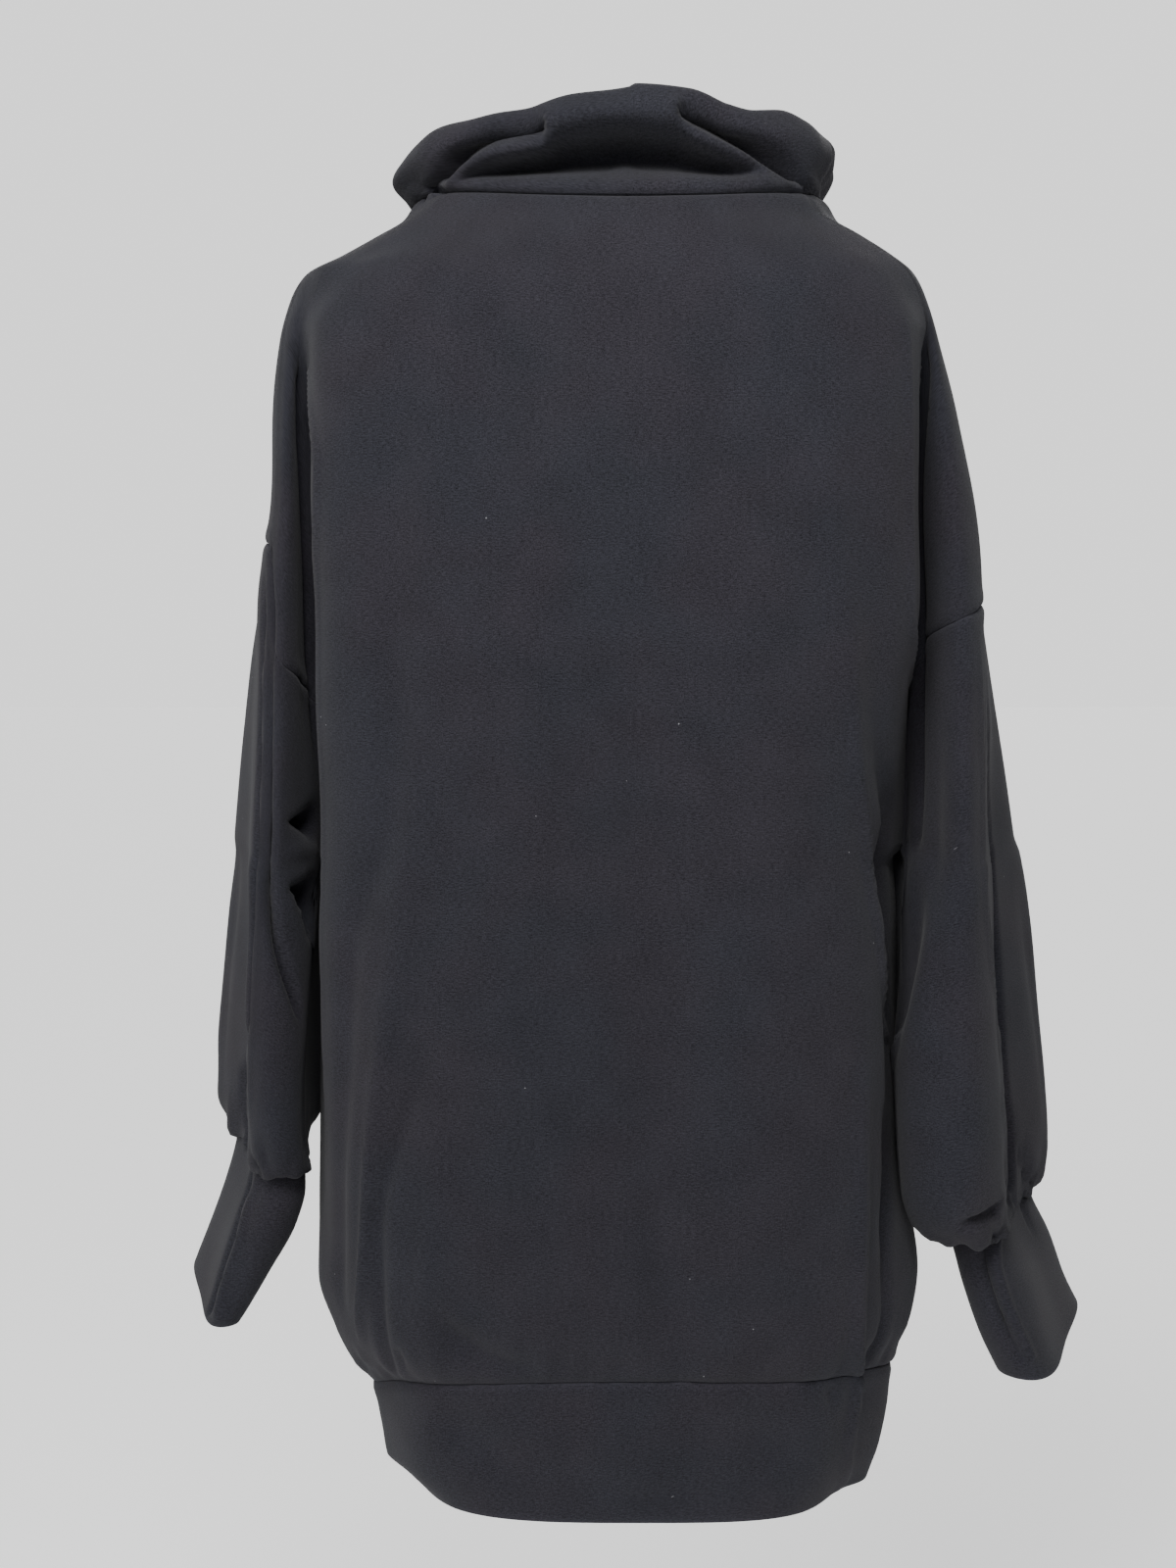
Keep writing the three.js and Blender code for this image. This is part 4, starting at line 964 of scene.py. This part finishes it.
def rimEdges(faces):
    # Edges that only one quad has, in that quad's direction.
    edges = np.stack([faces, np.roll(faces, -1, axis=1)], axis=-1).reshape(-1, 2)
    keys = edges[:, 0].astype(np.int64) * 10**7 + edges[:, 1]
    back = edges[:, 1].astype(np.int64) * 10**7 + edges[:, 0]
    return edges[~np.isin(keys, back)]


def makeWall(name, piece):
    # A piece's mesh: its surface carried out and in by half its wall, with a rim along every edge. At the rim
    # the half wall is small, and it grows as a quarter circle does, so that the edge is round.
    used, faces = np.unique(piece["faces"], return_inverse=True)
    faces = faces.reshape(-1, 4)
    own, out = places[used], facing[used]
    rim = rimEdges(faces)
    along = np.zeros_like(own)
    step = own[rim[:, 1]] - own[rim[:, 0]]
    step /= np.maximum(np.linalg.norm(step, axis=1, keepdims=True), 1e-9)
    np.add.at(along, rim[:, 0], step)
    np.add.at(along, rim[:, 1], step)
    onRim = np.linalg.norm(along, axis=1) > 1e-6
    inwards = np.cross(out, along)
    inwards /= np.maximum(np.linalg.norm(inwards, axis=1, keepdims=True), 1e-9)
    own = own + np.where(onRim[:, None], inwards * cloth["seamGap"] / 2, 0)
    away = np.clip(near["rim"][used] / cloth["roundedEdge"], 0, 1)
    thin = cloth["rimShare"]
    half = piece["wall"] / 2 * (thin + (1 - thin) * np.sqrt(1 - (1 - away) ** 2))
    count = len(own)
    both = np.concatenate([own + out * half[:, None], own - out * half[:, None]]) * mm
    a, b = rim[:, 0], rim[:, 1]
    sides = np.concatenate([faces, faces[:, ::-1] + count, np.stack([b, a, a + count, b + count], axis=-1)])
    lengths = np.zeros((count, 2))
    lengths[faces.reshape(-1)] = piece["lengths"].reshape(-1, 2)
    spots = [piece["lengths"], piece["lengths"][:, ::-1], lengths[np.stack([b, a, a, b], axis=-1)]]
    mesh = bpy.data.meshes.new(name)
    mesh.vertices.add(2 * count)
    mesh.vertices.foreach_set("co", both.ravel())
    mesh.loops.add(4 * len(sides))
    mesh.loops.foreach_set("vertex_index", sides.ravel())
    mesh.polygons.add(len(sides))
    mesh.polygons.foreach_set("loop_start", np.arange(len(sides)) * 4)
    mesh.uv_layers.new(name="lengths").uv.foreach_set("vector", (np.concatenate(spots) * mm).ravel())
    worn = mesh.attributes.new("worn", "FLOAT", "POINT")
    worn.data.foreach_set("value", np.tile(np.exp(-((near["rim"][used] / cloth["wornReach"]) ** 2)), 2))
    mesh.update(calc_edges=True)
    mesh.shade_smooth()
    obj = bpy.data.objects.new(name, mesh)
    bpy.context.collection.objects.link(obj)
    return obj


# Finish of the knit. The sizes of what is drawn in it count how many fit in a metre, and heights are metres.
knit = {
    "colours": ((0.0172, 0.0160, 0.0202), (0.0158, 0.0160, 0.0204)),
    "patches": {"size": 12, "sharpness": 4},
    "slub": {"across": 330, "down": 1050, "share": 0.8, "height": 0.0003},
    "fuzz": {"size": 1100, "share": 1.0, "height": 0.00018},
    "blotches": {"size": 30, "share": 0.2},
    "lint": {"size": 120, "chance": 0.975, "radius": 0.055, "colour": (0.16, 0.16, 0.17)},
    "worn": 0.5,
    "roughness": 0.95,
    "sheen": 0.05,
    "sheenRoughness": 0.6,
    "specular": 0.03,
}


def makeKnit():
    # Heavy brushed knit: slubs that run across it, fine fuzz, faint blotches, specks of lint and paler rims.
    material = bpy.data.materials.new("sweatshirt knit")
    material.use_nodes = True
    nodes, links = material.node_tree.nodes, material.node_tree.links

    def node(kind, inputs, **settings):
        made = nodes.new("ShaderNode" + kind)
        for name, value in settings.items():
            setattr(made, name, value)
        for key, value in inputs.items():
            if isinstance(value, bpy.types.NodeSocket):
                links.new(value, made.inputs[key])
            else:
                made.inputs[key].default_value = value
        return made

    def math(operation, *values):
        return node("Math", dict(enumerate(values)), operation=operation).outputs[0]

    def noise(where, scale, detail):
        return node("TexNoise", {"Vector": where, "Scale": scale, "Detail": detail}).outputs["Fac"]

    slub, fuzz, blotches, lint = knit["slub"], knit["fuzz"], knit["blotches"], knit["lint"]
    lengths = node("UVMap", {}, uv_map="lengths").outputs["UV"]
    stretch = {0: lengths, 1: (slub["across"], slub["down"], 1)}
    slubs = noise(node("VectorMath", stretch, operation="MULTIPLY").outputs[0], 1, 3)
    fuzzes = noise(lengths, fuzz["size"], 2)
    where = node("TexCoord", {}).outputs["Object"]
    broad = noise(where, blotches["size"], 2)
    patch = knit["patches"]
    drift = math("SUBTRACT", noise(where, patch["size"], 2), 0.5)
    patches = math("MULTIPLY_ADD", drift, patch["sharpness"], 0.5)
    shade = 1.0
    for value, share in ((slubs, slub["share"]), (fuzzes, fuzz["share"]), (broad, blotches["share"])):
        shade = math("MULTIPLY_ADD", math("SUBTRACT", value, 0.5), 2 * share, shade)
    rims = node("Attribute", {}, attribute_name="worn").outputs["Fac"]
    shade = math("MULTIPLY_ADD", rims, knit["worn"], shade)
    first, second = ((*colour, 1) for colour in knit["colours"])
    base = node("Mix", {0: patches, 6: first, 7: second}, data_type="RGBA").outputs[2]
    tinted = node("VectorMath", {0: base, "Scale": shade}, operation="SCALE").outputs[0]
    cells = node("TexVoronoi", {"Vector": lengths, "Scale": lint["size"]})
    drawn = node("SeparateColor", {0: cells.outputs["Color"]}).outputs[0]
    chosen = math("GREATER_THAN", drawn, lint["chance"])
    inside = math("LESS_THAN", cells.outputs["Distance"], lint["radius"])
    specks = math("MULTIPLY", chosen, inside)
    mixed = node("Mix", {0: specks, 6: tinted, 7: (*lint["colour"], 1)}, data_type="RGBA")
    shader = nodes["Principled BSDF"]
    links.new(mixed.outputs[2], shader.inputs["Base Color"])
    shader.inputs["Roughness"].default_value = knit["roughness"]
    shader.inputs["Sheen Weight"].default_value = knit["sheen"]
    shader.inputs["Sheen Roughness"].default_value = knit["sheenRoughness"]
    shader.inputs["Specular IOR Level"].default_value = knit["specular"]
    height = math("MULTIPLY_ADD", slubs, slub["height"], math("MULTIPLY", fuzzes, fuzz["height"]))
    links.new(node("Bump", {"Height": height, "Distance": 1.0}).outputs[0], shader.inputs["Normal"])
    return material


knitMaterial = makeKnit()

# Each piece stands for one solid, and was cut flat to the size given before it was sewn.
sewn = {
    "back": {"for": "back_panel", "flat": (1.12, 0.90), "area": 0.497, "held": "hung"},
    "front": {"for": "front_panel", "flat": (1.16, 0.89), "area": 0.507, "held": "hung"},
    "leftSleeve": {"for": "sleeve_left", "flat": (0.65, 0.455), "area": 0.149, "held": "gathered"},
    "rightSleeve": {"for": "sleeve_right", "flat": (0.64, 0.464), "area": 0.188, "held": "gathered"},
    "leftCuff": {"for": "cuff_left", "flat": (0.303, 0.128), "area": 0.0356, "held": "hung"},
    "rightCuff": {"for": "cuff_right", "flat": (0.349, 0.116), "area": 0.0369, "held": "hung"},
    "hemBand": {"for": "hem_band", "flat": (1.075, 0.097), "area": 0.0933, "held": "hung"},
    "highCollar": {"for": "collar", "flat": (0.865, 0.14), "area": 0.0795, "held": "draped"},
}
for name, cut in sewn.items():
    piece = makeWall(name, pieces[name])
    piece.data.materials.append(knitMaterial)
    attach(piece, "root")
    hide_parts(cut["for"])
    print(name, "made:", len(piece.data.polygons), "faces")

# The floor, the sky that lights it, and the brighter one that the camera sees.
room = {
    "floorHeight": -1.4,
    "floorSize": 40,
    "floorColour": (0.86, 0.86, 0.86),
    "floorRoughness": 0.9,
    "floorGlow": 0.4,
    "sky": 0.3,
    "seenSky": 1.75,
}

floorMesh = bpy.data.meshes.new("floor")
reach = room["floorSize"] / 2
corners = ((-reach, -reach), (reach, -reach), (reach, reach), (-reach, reach))
floorMesh.from_pydata([(x, y, room["floorHeight"]) for x, y in corners], [], [(0, 1, 2, 3)])
floor = bpy.data.objects.new("floor", floorMesh)
bpy.context.collection.objects.link(floor)
floorPaint = bpy.data.materials.new("pale floor")
floorPaint.use_nodes = True
floorShader = floorPaint.node_tree.nodes["Principled BSDF"]
floorShader.inputs["Base Color"].default_value = (*room["floorColour"], 1)
floorShader.inputs["Roughness"].default_value = room["floorRoughness"]
floorShader.inputs["Emission Color"].default_value = (1, 1, 1, 1)
floorShader.inputs["Emission Strength"].default_value = room["floorGlow"]
floorMesh.materials.append(floorPaint)

world = bpy.data.worlds.new("studio")
world.use_nodes = True
skyNodes, skyLinks = world.node_tree.nodes, world.node_tree.links
skyNodes["Background"].inputs["Color"].default_value = (1, 1, 1, 1)
skyNodes["Background"].inputs["Strength"].default_value = room["sky"]
seenSky = skyNodes.new("ShaderNodeBackground")
seenSky.inputs["Strength"].default_value = room["seenSky"]
skyMix = skyNodes.new("ShaderNodeMixShader")
skyLinks.new(skyNodes.new("ShaderNodeLightPath").outputs["Is Camera Ray"], skyMix.inputs[0])
skyLinks.new(skyNodes["Background"].outputs[0], skyMix.inputs[1])
skyLinks.new(seenSky.outputs[0], skyMix.inputs[2])
skyLinks.new(skyMix.outputs[0], skyNodes["World Output"].inputs[0])
bpy.context.scene.world = world

# Suns shine from a heading, in degrees from +Y towards +X, and a height above the floor. The soft box hangs
# over the camera and is turned to the garment's shoulders.
suns = {
    "back": {"heading": 32, "height": 32, "strength": 1.8, "spread": 28},
    "front": {"heading": 185, "height": 28, "strength": 3.2, "spread": 50},
}
softBox = {"place": (0.16, 1.15, 0.75), "towards": (0.0, 0.1, -0.25), "size": 0.7, "power": 29}

for name, sun in suns.items():
    data = bpy.data.lights.new(name + " sun", "SUN")
    data.energy, data.angle = sun["strength"], radians(sun["spread"])
    light = bpy.data.objects.new(name + " sun", data)
    light.rotation_euler = (radians(sun["height"] - 90), 0, radians(-sun["heading"]))
    bpy.context.collection.objects.link(light)

boxLight = bpy.data.lights.new("soft box", "AREA")
boxLight.shape, boxLight.size, boxLight.energy = "DISK", softBox["size"], softBox["power"]
boxObject = bpy.data.objects.new("soft box", boxLight)
boxObject.location = softBox["place"]
aim = Vector(softBox["towards"]) - Vector(softBox["place"])
boxObject.rotation_euler = aim.to_track_quat("-Z", "Y").to_euler()
boxObject.visible_camera = False
bpy.context.collection.objects.link(boxObject)
print("room lit")
